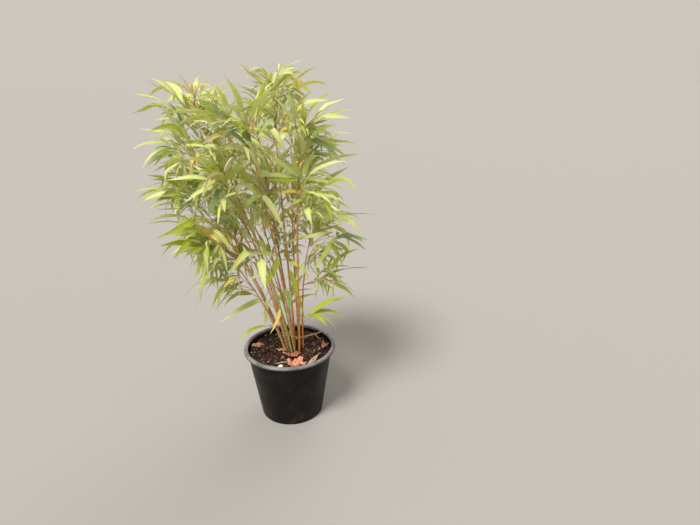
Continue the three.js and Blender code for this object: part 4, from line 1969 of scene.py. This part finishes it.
@dataclass
class Litter:
    """What has fallen on the compost: curled leaves, a white stone, straw and a dead twig."""

    compost: Compost
    leaves: tuple[FallenLeaf, ...] = (
        FallenLeaf("fallen_leaf", (24, -79), (23, 21), 7, 8, 4, "cf987e", "965842", 41),
        FallenLeaf("fallen_scrap_front", (-18, -15), (9, 7), 5, 3, 2, "d6a585", "9a684f", 43),
        FallenLeaf("fallen_scrap_middle", (12, -38), (13, 8), 5, 4, 3, "b96f55", "7d4233", 44),
        FallenLeaf("fallen_scrap_right", (86, 14), (9, 14), 3, 4, 3, "b0745c", "7a4535", 45),
        FallenLeaf("fallen_scrap_left", (-86, 14), (13, 9), 3, 3, 3, "c49678", "85604a", 46),
    )
    leaf_rings: int = 12
    leaf_sectors: int = 64
    leaf_lobes: tuple[tuple[int, float], ...] = ((3, 0.16), (5, 0.1), (8, 0.08), (17, 0.05))
    leaf_thickness: float = 0.5
    farthest: float = 100
    curl_waves: Spot = (0.5, 0.5, 1.6)
    fold_count: float = 2.5
    fold_turn: float = 4
    rough_share: float = 0.8
    rough_layer: float = 50
    rough_size: float = 6
    stone_place: Span = (-12, -86)
    stone_radii: Spot = (7.0, 6.6, 6.6)
    stone_lift: float = 0.85
    stone_wear: float = 0.1
    stone_lumps: float = 1.7
    stone_bands: int = 10
    stone_sides: int = 16
    straw_key: int = 42
    straw_steps: int = 7
    straw_ends: Span = (0.25, 0.12)
    straw_lean: Span = (40, 90)
    straws: tuple[Straw, ...] = (
        Straw((50, -76), (80, -24), lift=(4, 7), width=3.2, bow=4),
        Straw((58, -70), (72, -38), lift=(7, 9), width=2.2, bow=-2),
        Straw((-26, -70), (6, -57), lift=(3, 4), width=1.3, bow=2),
        Straw((-35, 0), (-22, -14), lift=(3, 4), width=2.2, bow=2),
        Straw((-18, -15), (-2, -30), lift=(2, 4), width=2.0, bow=-2),
        Straw((-96, 19), (-70, 30), lift=(2, 3), width=1.1, bow=2),
        Straw((-84, 6), (-66, 24), lift=(3, 4), width=0.9, bow=-3),
        Straw((30, 48), (62, 84), lift=(3, 6), width=1.1, bow=4),
        Straw((-58, 40), (-30, 70), lift=(2, 4), width=1.4, bow=-4),
        Straw((10, 74), (-24, 84), lift=(3, 3), width=1.2, bow=3),
    )
    twig_line: tuple[Spot, ...] = ((3, 34, 8), (22, 44, 10), (44, 52, 12), (62, 58, 14), (78, 66, 19))
    twig_fork: tuple[Spot, ...] = ((58, 56, 13), (66, 48, 11), (70, 40, 8))

    def build(self) -> None:
        """Makes every fallen piece."""
        for leaf in self.leaves:
            dress(self._curled(leaf))
        dress(self._stone())
        dress(self._straw())
        dress(self._twig())

    def _on_top(self, x: float, y: float, lift: float) -> np.ndarray:
        """A place a little over the compost."""
        return np.array([x, y, self.compost.height(x, y) + lift])

    def _curled(self, leaf: FallenLeaf) -> Piece:
        """One fallen leaf, with a ragged edge.

        Args:
            leaf: The leaf.

        Returns:
            The piece.
        """
        random = Draws(leaf.key)
        waves = [(lobes, random.between(0, 2 * pi), size) for lobes, size in self.leaf_lobes]
        rings = []
        for ring in range(self.leaf_rings + 1):
            share = ring / self.leaf_rings
            row = []
            for turn in turns(self.leaf_sectors):
                ragged = sum(size * sin(lobes * turn + start) for lobes, start, size in waves)
                reach = share * (1 + ragged * share * share)
                x = leaf.centre[0] + leaf.size[0] * reach * cos(turn)
                y = leaf.centre[1] + leaf.size[1] * reach * sin(turn)
                held = min(1.0, self.farthest / hypot(x, y))
                x, y = x * held, y * held
                even, wave, rag = self.curl_waves
                curl = leaf.curl * share**2 * (even + wave * sin(turn + waves[0][1]) + rag * ragged)
                folds = abs(sin(self.fold_count * turn + self.fold_turn * share + waves[1][1])) * share
                rough = noise.noise(Vector((x, y, self.rough_layer)) / self.rough_size) * self.rough_share
                row.append(self._on_top(x, y, leaf.lift + curl + leaf.crumple * (folds + rough)))
            rings.append(row if ring else [row[0]])
        piece = link_object(leaf.name, mesh_of(leaf.name, *ringed(rings)))
        wall = piece.modifiers.new("thickness", "SOLIDIFY")
        wall.thickness = self.leaf_thickness * MM
        wall.offset = 0
        frozen(piece)
        finish = DryFinish(leaf.name, leaf.main, leaf.dark, scale=190, relief=0.0008)
        piece.data.materials.append(finish.material())
        return piece

    def _stone(self) -> Piece:
        """A small white stone on the compost.

        Returns:
            The piece.
        """
        rings = []
        centre = self._on_top(*self.stone_place, self.stone_radii[2] * self.stone_lift)
        for band in range(self.stone_bands + 1):
            rise = pi * (band / self.stone_bands - 0.5)
            row = []
            for turn in turns(self.stone_sides):
                way = pointing(turn, rise)
                worn = 1 + self.stone_wear * noise.noise(Vector(way * self.stone_lumps))
                row.append(centre + way * np.array(self.stone_radii) * worn)
            rings.append(row if 0 < band < self.stone_bands else [row[0]])
        stone = link_object("white_stone", mesh_of("white_stone", *ringed(rings)))
        stone.data.materials.append(DryFinish("white_stone", "e9e5dc", "c9c2b4", 0.55).material())
        return stone

    def _straw(self) -> Piece:
        """The strips of straw.

        Returns:
            The piece.
        """
        paths = Paths()
        narrow, blunt = self.straw_ends
        for number, straw in enumerate(self.straws):
            random = Draws(self.straw_key, number)
            start, end = np.array(straw.start), np.array(straw.end)
            side = np.array([start[1] - end[1], end[0] - start[0]]) / np.linalg.norm(end - start)
            points, widths = [], []
            for k in range(self.straw_steps):
                share = k / (self.straw_steps - 1)
                x, y = mix(start, end, share) + side * straw.bow * sin(pi * share)
                points.append(self._on_top(x, y, mix(*straw.lift, share)))
                full = sin(pi * min(share + blunt, 1.0)) ** 0.5
                widths.append(straw.width * mix(narrow, 1, full))
            lean = pointing(random.between(0, 2 * pi), radians(random.between(*self.straw_lean)))
            paths.add(points, lean, width=widths)
        looks = LeafFinish("straw", "c8a877", "9c7a4c", "bb9b6a", "dcc499", roughness=0.66).materials()
        section = Section.blade(0.3, 0.12)
        return shared(SweepTree).sweep("fallen_straw", paths, section, looks["face"], looks["back"])

    def _twig(self) -> Piece:
        """A dead twig with a forked tip, lying across the back of the pot.

        Returns:
            The piece.
        """
        paths = Paths()
        for line, thick in ((self.twig_line, (2.3, 1.2)), (self.twig_fork, (1.3, 0.6))):
            points = [self._on_top(*place) for place in line]
            widths = np.linspace(*thick, len(points))
            paths.add(points, UP, width=widths, bloom=np.linspace(0, 1, len(points)))
        material = Skin.AMBER.value.material()
        return shared(SweepTree).sweep("dead_twig", paths, Section.round(8), material)


@dataclass
class Culms:
    """The canes, each whole from the compost to its tip, with raised joints."""

    canes: list[Cane]
    sides: int = 12
    flare: float = 1.25
    flare_height: float = 12
    foot_scars: Spot = (0.6, 0.5, 0.0)
    sunk: float = 5
    slim: float = 0.5
    full_radius: float = 3
    relief: tuple[tuple[float, float, float, float], ...] = (
        (-3.0, 0.0, 0.0, 0.3),
        (-1.0, 0.12, 0.2, 0.2),
        (-0.3, 0.45, 1.0, 0.0),
        (0.3, 0.4, 1.0, 0.0),
        (0.8, 0.05, 0.4, 0.6),
        (1.8, 0.5, 0.0, 1.0),
        (3.2, 0.3, 0.0, 0.8),
        (6.0, 0.0, 0.0, 0.0),
    )
    skins: tuple[Skin, ...] = (
        Skin.AMBER, Skin.TAN, Skin.AMBER, Skin.ROSE, Skin.TAN, Skin.AMBER, Skin.AMBER, Skin.GREEN
    )

    def build(self) -> None:
        """Makes the canes, a piece for each colour."""
        for skin in Skin:
            paths = Paths()
            own = [cane for cane in self.canes if self.skins[cane.index % len(self.skins)] is skin]
            for cane in own:
                self._lay(paths, cane)
            section, material = Section.round(self.sides), skin.value.material()
            piece = shared(SweepTree).sweep(f"{skin.value.name}s", paths, section, material)
            dress(piece, [f"cane_{cane.index + 1:02d}" for cane in own])

    def radius(self, cane: Cane, joint: int, share: float = 0.0) -> float:
        """A cane's radius at a joint, or a share of the way to the next.

        Args:
            cane: The cane.
            joint: The joint's number.
            share: The share.

        Returns:
            The radius.
        """
        last = len(cane.points) - 1
        plain = mix(cane.radii[joint], cane.radii[min(joint + 1, last)], share)
        leafy = (joint + share - cane.bare) / (last - cane.bare)
        return plain * (1 - self.slim * smooth(leafy))

    def _lay(self, paths: Paths, cane: Cane) -> None:
        """Adds one cane's path.

        Args:
            paths: The paths that it joins.
            cane: The cane.
        """
        foot, up = cane.points[0], cane.directions[0]
        points = [foot - up * self.sunk, foot, foot + up * self.flare_height]
        widths = [cane.radii[0] * self.flare, cane.radii[0] * self.flare, cane.radii[0]]
        scars, blooms = list(self.foot_scars), [0.0] * len(points)
        for joint in range(1, len(cane.points) - 1):
            radius = self.radius(cane, joint)
            for offset, raised, scar, bloom in self.relief:
                way = cane.directions[joint if offset > 0 else joint - 1]
                points.append(cane.points[joint] + way * offset)
                widths.append(radius + raised * radius / self.full_radius)
                scars.append(scar)
                blooms.append(bloom)
        points.append(cane.points[-1])
        widths.append(self.radius(cane, len(cane.points) - 1))
        scars.append(0.0)
        blooms.append(0.0)
        paths.add(points, beside(up), width=widths, scar=scars, bloom=blooms)


@dataclass
class Sheaths:
    """Papery sheaths that clasp the canes over their joints, and bare dead twigs low down."""

    culms: Culms
    key: int = 61
    turn_jitter: float = 0.9
    steps: int = 7
    share: float = 0.6
    length: Span = (22, 46)
    start: float = 1.2
    seat: Span = (1.12, 0.35)
    girth: float = 1.15
    peel: float = 1.6
    dead_share: float = 0.4
    dead_jitter: float = 0.8
    dead_rise: Span = (15, 62)
    dead_length: Span = (34, 96)
    dead_radius: Span = (0.75, 0.35)
    dead_bend: float = 6
    dead_kink: float = 0.7
    dead_sag: float = 0.1

    def build(self) -> None:
        """Makes the sheaths and the dead twigs."""
        wraps, dead = Paths(), Paths()
        for cane in self.culms.canes:
            for joint in range(1, len(cane.points) - 2):
                random = Draws(self.key, cane.index, joint)
                turn = cane.turn + pi * joint + random.between(-self.turn_jitter, self.turn_jitter)
                if random.share() < self.share:
                    self._wrap(wraps, cane, joint, turn, random)
                if joint <= cane.bare and random.share() < self.dead_share:
                    turn += random.between(-self.dead_jitter, self.dead_jitter)
                    self._dead(dead, cane, joint, turn, random)
        looks = LeafFinish("sheath", "cfb588", "a3855a", "c4a676", "b18f5c", roughness=0.6).materials()
        sweep = shared(SweepTree).sweep
        section = Section.blade(0.85, 0.08)
        dress(sweep("sheaths", wraps, section, looks["face"], looks["back"]))
        dress(sweep("dead_twigs", dead, Section.round(6), Skin.TAN.value.material()))

    def _wrap(self, paths: Paths, cane: Cane, joint: int, turn: float, random: Draws) -> None:
        """Adds a sheath that starts at a joint and clasps the cane above it.

        Args:
            paths: The paths that it joins.
            cane: The cane.
            joint: The joint's number.
            turn: The side that it clasps the cane from.
            random: The draws that it is shaped by.
        """
        up = cane.directions[joint]
        out = unit(pointing(turn, 0) - up * float(pointing(turn, 0) @ up))
        radius = self.culms.radius(cane, joint)
        length = random.between(*self.length) * (0.6 + 0.4 * radius / self.culms.full_radius)
        peel = random.between(0.3, 1) * self.peel
        points, faces, widths = [], [], []
        for k in range(self.steps):
            share = k / (self.steps - 1)
            away = radius * self.seat[0] + self.seat[1] + peel * share * share
            points.append(cane.points[joint] + up * (self.start + length * share) + out * away)
            faces.append(-unit(out - up * 0.1 * share))
            widths.append(radius * self.girth * (0.9 + 0.25 * share) * (1 - share**3) + 0.12)
        paths.add(points, faces, width=widths)

    def _dead(self, paths: Paths, cane: Cane, joint: int, turn: float, random: Draws) -> None:
        """Adds a thin, bare twig that leans out from a joint.

        Args:
            paths: The paths that it joins.
            cane: The cane.
            joint: The joint's number.
            turn: Its heading.
            random: The draws that it is shaped by.
        """
        way = pointing(turn, radians(random.between(*self.dead_rise)))
        length = random.between(*self.dead_length)
        start = cane.points[joint]
        side = beside(way) * random.between(-self.dead_bend, self.dead_bend)
        points = []
        for k in range(self.steps):
            share = k / (self.steps - 1)
            kink = UP * self.dead_kink * (k % 2) * (1 - share)
            sag = UP * length * self.dead_sag * share * share
            points.append(start + way * length * share + side * sin(pi * share / 2) - sag + kink)
        widths = np.linspace(*self.dead_radius, self.steps)
        paths.add(points, beside(way), width=widths, bloom=np.linspace(0, 0.8, self.steps))


@dataclass(frozen=True)
class BladeForm:
    """How a leaf's width and bend run from its root to its tip."""

    stations: tuple[float, ...] = (0, 0.035, 0.08, 0.16, 0.27, 0.4, 0.54, 0.68, 0.82, 0.93, 1)
    widths: tuple[float, ...] = (0.07, 0.09, 0.5, 0.88, 1, 0.96, 0.84, 0.64, 0.38, 0.15, 0.015)
    arch: Spot = (0.05, 1.0, 1.38)
    crease: Spot = (0.34, 0.46, 1.0)
    fullness: Span = (0.78, 1.14)
    creased: Span = (-0.9, 1.1)
    waves: Span = (1.0, 2.4)
    marked_turns: Span = (20, 30)
    marked_rise: float = 38
    twist: float = 78
    ripple: float = 0.012
    dried_tips: float = 0.13
    dried_from: float = 0.9
    key: int = 700

    def lay(self, paths: Paths, leaf: Leaf, shift: np.ndarray, dry_tip: bool = True) -> None:
        """Adds one leaf's path.

        Args:
            paths: The paths that it joins.
            leaf: The leaf.
            shift: How far its twig's bow has moved its root.
            dry_tip: Whether its tip may be dried.
        """
        random = Draws(*leaf.keys, self.key)
        crease = smooth(random.between(*self.creased))
        twist = radians(random.between(-self.twist, self.twist))
        ripple = random.between(-self.ripple, self.ripple) * leaf.length
        fullness = random.between(*self.fullness) * leaf.half_width
        waves = random.between(*self.waves)
        dried = dry_tip and random.share() < self.dried_tips
        place = leaf.root + shift
        points, faces, dry = [], [], []
        for before, here in zip((0.0, *self.stations), self.stations):
            angle = leaf.droop * self._bend((before + here) / 2, crease)
            onward = leaf.direction * cos(angle) - leaf.top * sin(angle)
            place = place + onward * (leaf.length * (here - before))
            angle = leaf.droop * self._bend(here, crease)
            normal = leaf.top * cos(angle) + leaf.direction * sin(angle)
            roll = leaf.roll + twist * here
            points.append(place + normal * ripple * sin(2 * pi * waves * here))
            faces.append(normal * cos(roll) - leaf.level * sin(roll))
            dry.append(1.0 if dried and here > self.dried_from else 0.0)
        widths = np.array(self.widths) * fullness
        paths.add(points, faces, width=widths, along=self.stations, dry=dry)

    def lay_marked(self, paths: Paths, leaf: "MarkedLeaf", number: int) -> None:
        """Adds the path of a leaf whose root, middle and tip are given, with its face turned out.

        Args:
            paths: The paths that it joins.
            leaf: The leaf.
            number: Its number, from 0.
        """
        random = Draws(number, self.key)
        root, middle, tip = leaf.line()
        turned = [radians(random.between(-most, most)) for most in self.marked_turns]
        points, faces = [], []
        for here in self.stations:
            points.append(mix(mix(root, middle, here), mix(middle, tip, here), here))
            along = unit(mix(middle - root, tip - middle, here))
            out = pointing(radians(leaf.faces) + mix(*turned, here), radians(self.marked_rise))
            faces.append(unit(out - along * float(out @ along)))
        widths = np.array(self.widths) * leaf.half_width
        paths.add(points, faces, width=widths, along=self.stations)

    def _bend(self, share: float, crease: float) -> float:
        """How much of its droop a leaf has taken.

        Args:
            share: The share of its length.
            crease: How far it droops from a crease, and not in an arch.

        Returns:
            The share of its droop.
        """
        starts = []
        for start, end, most in (self.arch, self.crease):
            starts.append(most * smooth((share - start) / (end - start)))
        return mix(starts[0], starts[1], crease)


@dataclass(frozen=True)
class MarkedLeaf:
    """A leaf that stands out: the cane it belongs to, its root, middle and tip, half width and colour."""

    cane: int
    root: Spot
    middle: Spot
    tip: Spot
    half_width: float = 6
    tint: Tint = Tint.LIME
    faces: float = -80

    def line(self) -> list[np.ndarray]:
        """Its root, middle and tip."""
        return [np.array(place, float) for place in (self.root, self.middle, self.tip)]


@dataclass
class Foliage:
    """The leaves and twigs, dealt out in colours by spray, paler more often high up and darker low down, as
    painted light and shade.
    """

    canes: list[Cane]
    form: BladeForm = BladeForm()
    twig_radius: Span = (0.95, 0.45)
    twig_steps: int = 6
    twig_skins: tuple[Skin, ...] = (Skin.GREEN, Skin.AMBER)
    kink: float = 0.7
    tint_key: int = 650
    # painted light and shade: between these heights the sprays go from mostly darker tints to mostly the pale
    # lime
    painted_light_heights: Span = (300, 650)
    painted_light_powers: Span = (0.5, 1.25)
    green_share: float = 0.8
    edge: float = 2
    fold: float = 0.16
    dry_fold: float = 0.8
    stalk_drop: float = 4
    stalk_bow: float = 0.12
    spray_sunk: float = 4
    spray_widths: Spot = (1.3, 1.1, 0.7)
    spray_tint: Tint = Tint.MID
    marked: tuple[MarkedLeaf, ...] = (
        MarkedLeaf(5, (41, -9, 605), (7, -23, 635), (-32, -33, 664), 6),
        MarkedLeaf(5, (40, -9, 606), (28, -23, 637), (24, -33, 668), 5),
        MarkedLeaf(5, (44, -9, 606), (63, -23, 640), (77, -33, 668), 6),
        MarkedLeaf(5, (38, -9, 603), (-26, -23, 620), (-76, -33, 605), 5.6),
        MarkedLeaf(5, (38, -9, 600), (7, -23, 599), (-28, -33, 604), 6, Tint.MID),
        MarkedLeaf(5, (45, -9, 603), (98, -23, 606), (142, -33, 577), 4.8, Tint.MID),
        MarkedLeaf(5, (37, -9, 569), (20, -26, 584), (-8, -38, 570), 4.8, Tint.YELLOW),
        MarkedLeaf(2, (-36, -58, 576), (-61, -72, 572), (-89, -84, 535), 6, Tint.MID),
        MarkedLeaf(2, (-36, -58, 576), (-12, -74, 560), (12, -84, 500), 6.8),
        MarkedLeaf(7, (-103, -117, 612), (-112, -133, 592), (-130, -143, 550), 6.8, Tint.COOL),
        MarkedLeaf(9, (-163, 0, 483), (-141, -16, 470), (-112, -26, 434), 7.2),
        MarkedLeaf(13, (112, 30, 467), (40, 15, 462), (-26, 5, 440), 4.8),
        MarkedLeaf(13, (120, 29, 459), (98, 13, 428), (55, 3, 368), 6.8),
        MarkedLeaf(2, (-14, -38, 431), (-45, -54, 450), (-72, -64, 444), 5.2),
        MarkedLeaf(2, (-12, -38, 431), (-18, -54, 398), (-50, -64, 358), 7.5, Tint.MID),
        MarkedLeaf(0, (6, 4, 398), (39, -12, 412), (59, -22, 358), 6),
        MarkedLeaf(0, (6, 3, 386), (22, -14, 350), (43, -24, 262), 5.6, Tint.MID),
        MarkedLeaf(9, (-56, -5, 312), (-97, -20, 304), (-163, -30, 258), 6.8),
        MarkedLeaf(9, (-49, -6, 312), (-49, -21, 284), (-54, -31, 240), 5.2),
        MarkedLeaf(7, (-15, -33, 300), (-16, -49, 274), (-38, -59, 244), 4.4, Tint.YELLOW),
        MarkedLeaf(0, (-12, 42, 738), (-24, 26, 722), (-52, 16, 687), 6, Tint.COOL),
        MarkedLeaf(0, (-30, 37, 710), (-8, 21, 694), (13, 11, 645), 6.8),
    )

    def build(self) -> None:
        """Grows the foliage and makes a piece of each colour."""
        marks = [leaf.line() for leaf in self.marked]
        growth, sight = Growth(self.canes, marks), Sight(marks)
        stems, twigs, ends = growth.grow()
        nodes = self._nodes(stems, growth)
        paths = {tint: Paths() for tint in Tint}
        owners: dict[Tint, set[str]] = {tint: set() for tint in Tint}
        wood = {skin: Paths() for skin in self.twig_skins}
        low, high = self.painted_light_heights
        for number, twig in enumerate(twigs):
            self._lay_twig(wood[self.twig_skins[number % len(wood)]], twig)
            # painted light and shade: the higher a spray ends, the more often its leaves are dealt the pale
            # lime tint
            upward = smooth((twig.end[2] - low) / (high - low))
            tint = Tint.dealt(Draws(*twig.keys, self.tint_key).share() ** mix(*self.painted_light_powers, upward))
            owners[tint].add(nodes[twig.keys[0] % growth.fine.key])
            for leaf in twig.leaves:
                if not self._hides(sight, leaf):
                    share = float(np.linalg.norm(leaf.root - twig.root)) / twig.length
                    self.form.lay(paths[tint], leaf, twig.shift(share))
        for leaf in ends:
            if self._hides(sight, leaf):
                continue
            share = Draws(leaf.keys[0], self.tint_key).share() * self.green_share
            tint = self.spray_tint if leaf.keys[0] >= growth.spray_key else Tint.dealt(share)
            owners[tint].add(nodes[leaf.keys[0]])
            self.form.lay(paths[tint], leaf, np.zeros(3))
        for number, leaf in enumerate(self.marked):
            owners[leaf.tint].add(f"foliage_{leaf.cane + 1:02d}")
            self.form.lay_marked(paths[leaf.tint], leaf, number)
            self._lay_stalk(wood[Skin.GREEN], leaf)
        for stem in stems:
            if not stem.top:
                self._lay_spray_stem(wood[Skin.GREEN], stem)
        for skin, lines in wood.items():
            name = skin.value.name.replace("cane", "twigs")
            piece = shared(SweepTree).sweep(name, lines, Section.round(6), skin.value.material())
            dress(piece, list(nodes.values()))
        for tint in Tint:
            section = Section.blade(self.dry_fold if tint is Tint.DRY else self.fold)
            name = tint.value.name.replace("leaf", "leaves")
            piece = shared(SweepTree).sweep(name, paths[tint], section, **tint.value.materials())
            dress(piece, sorted(owners[tint]))

    def _hides(self, sight: Sight, leaf: Leaf) -> bool:
        """Whether a leaf stands before a marked one, unless it reaches the edge of the plant's own box.

        Args:
            sight: What the marked leaves keep open.
            leaf: The leaf.

        Returns:
            True if it does.
        """
        low, high = np.array(CAD_BOX) / MM
        inside = min((leaf.tip - low).min(), (high - leaf.tip).min())
        return inside > self.edge and sight.hidden_by(leaf.corners)

    @staticmethod
    def _nodes(stems: Sequence[Stem], growth: Growth) -> dict[int, str]:
        """Which of the frame's solids each stem's leaves stand for.

        Args:
            stems: The stems.
            growth: What they grew by.

        Returns:
            The solid's name for each stem's key.
        """
        names = {}
        for stem in stems:
            if stem.top:
                names[stem.key] = f"foliage_{stem.key - growth.foliage_key + 1:02d}"
            else:
                names[stem.key] = growth.sprays[stem.key - growth.spray_key].name
        return names

    def _lay_stalk(self, wood: Paths, leaf: MarkedLeaf) -> None:
        """Adds the stalk of a marked leaf, from the joint of its cane below it.

        Args:
            wood: The paths that it joins.
            leaf: The leaf.
        """
        root = np.array(leaf.root, float)
        below = [point for point in self.canes[leaf.cane].points if point[2] < root[2] - self.stalk_drop]
        joint = max(below, key=lambda point: point[2])
        knee = mix(joint, root, 0.5) + UP * self.stalk_bow * float(np.linalg.norm(root - joint))
        points = [mix(mix(joint, knee, t), mix(knee, root, t), t) for t in np.linspace(0, 1, self.twig_steps)]
        wood.add(points, beside(root - joint), width=np.linspace(*self.twig_radius, self.twig_steps))

    def _lay_twig(self, wood: Paths, twig: Twig) -> None:
        """Adds one twig's path, bowed and a little kinked at its leaves.

        Args:
            wood: The paths that it joins.
            twig: The twig.
        """
        points = []
        side = beside(twig.end - twig.root)
        for k in range(self.twig_steps):
            share = k / (self.twig_steps - 1)
            kink = side * self.kink * (1 if k % 2 else -1) * sin(pi * share)
            points.append(mix(twig.root, twig.end, share) + twig.shift(share) + kink)
        wood.add(points, side, width=np.linspace(*self.twig_radius, self.twig_steps))

    def _lay_spray_stem(self, wood: Paths, stem: Stem) -> None:
        """Adds a low spray's own stem, from inside the cane that carries it."""
        way = stem.directions[0]
        wood.add([stem.points[0] - way * self.spray_sunk, *stem.points], beside(way), width=self.spray_widths)


@dataclass(frozen=True)
class Lamp:
    """A far, broad lamp: the way that it lies in, the degrees that it fills, its power and colour."""

    name: str
    way: Spot
    angle: float
    power: float
    colour: str


@dataclass
class Studio:
    """The floor, the lamps, the sky's fill and the camera."""

    floor_size: float = 60
    floor_colour: str = "949290"
    sky_colour: str = "e3dcd2"
    sky_strength: float = 0.79
    lamps: tuple[Lamp, ...] = (
        Lamp("key", (-0.45, -0.7, 1.2), 20, 4.3, "fffcf6"),
        Lamp("back", (0.35, 1.0, 1.1), 40, 1.0, "fffaf2"),
    )
    camera_pitch: float = -20.71
    focal_pixels: float = 505
    photo_width: float = 700
    sensor_width: float = 36
    clip_start: float = 0.02

    def build(self) -> None:
        """Sets the stage."""
        self._floor()
        for lamp in self.lamps:
            self._light(lamp)
        world = bpy.data.worlds.new("sky")
        world.use_nodes = True
        sky = world.node_tree.nodes["Background"].inputs
        sky["Color"].default_value = linear(self.sky_colour)
        sky["Strength"].default_value = self.sky_strength
        bpy.context.scene.world = world
        bpy.context.scene.view_settings.view_transform = "Standard"
        self._camera()

    def _floor(self) -> None:
        """A wide, pale, plain floor under the pot."""
        half = self.floor_size / MM / 2
        corners = [(-half, -half, 0.0), (half, -half, 0.0), (half, half, 0.0), (-half, half, 0.0)]
        floor = link_object("floor", mesh_of("floor", corners, [(0, 1, 2, 3)]))
        coat = Coat("floor", 0.9, 0.2)
        coat.colour(self.floor_colour)
        floor.data.materials.append(coat.material)
        floor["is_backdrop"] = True

    @staticmethod
    def _light(lamp: Lamp) -> None:
        """One soft, far lamp.

        Args:
            lamp: The lamp.
        """
        light = bpy.data.lights.new(lamp.name, "SUN")
        light.angle = radians(lamp.angle)
        light.energy = lamp.power
        light.color = linear(lamp.colour)[:3]
        link_object(lamp.name, light).rotation_euler = Vector(lamp.way).to_track_quat("Z", "Y").to_euler()

    def _camera(self) -> None:
        """The camera, at the photograph's place and angle of view."""
        camera = bpy.data.cameras.new("camera")
        camera.sensor_width = self.sensor_width
        camera.lens = self.focal_pixels / self.photo_width * self.sensor_width
        camera.clip_start = self.clip_start
        holder = link_object("camera", camera)
        holder.location = VIEWER * MM
        holder.rotation_euler = (radians(90 + self.camera_pitch), 0, 0)
        bpy.context.scene.camera = holder


def plain(box: Sequence[Sequence[float]]) -> list[list[float]]:
    """A box's corners as plain lists."""
    return [list(map(float, corner)) for corner in box]


def main() -> None:
    """Builds the plant, its pot and the studio."""
    logging.basicConfig(level=logging.INFO, format="%(message)s")
    canes = Clump().grow()
    pot = Pot()
    compost = Compost(pot)
    culms = Culms(canes)
    for assembly in (pot, compost, Litter(compost), culms, Sheaths(culms), Foliage(canes)):
        assembly.build()
    Studio().build()
    {"cad": plain(CAD_BOX), "visual": plain(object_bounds())}


if __name__ == "__main__":
    main()
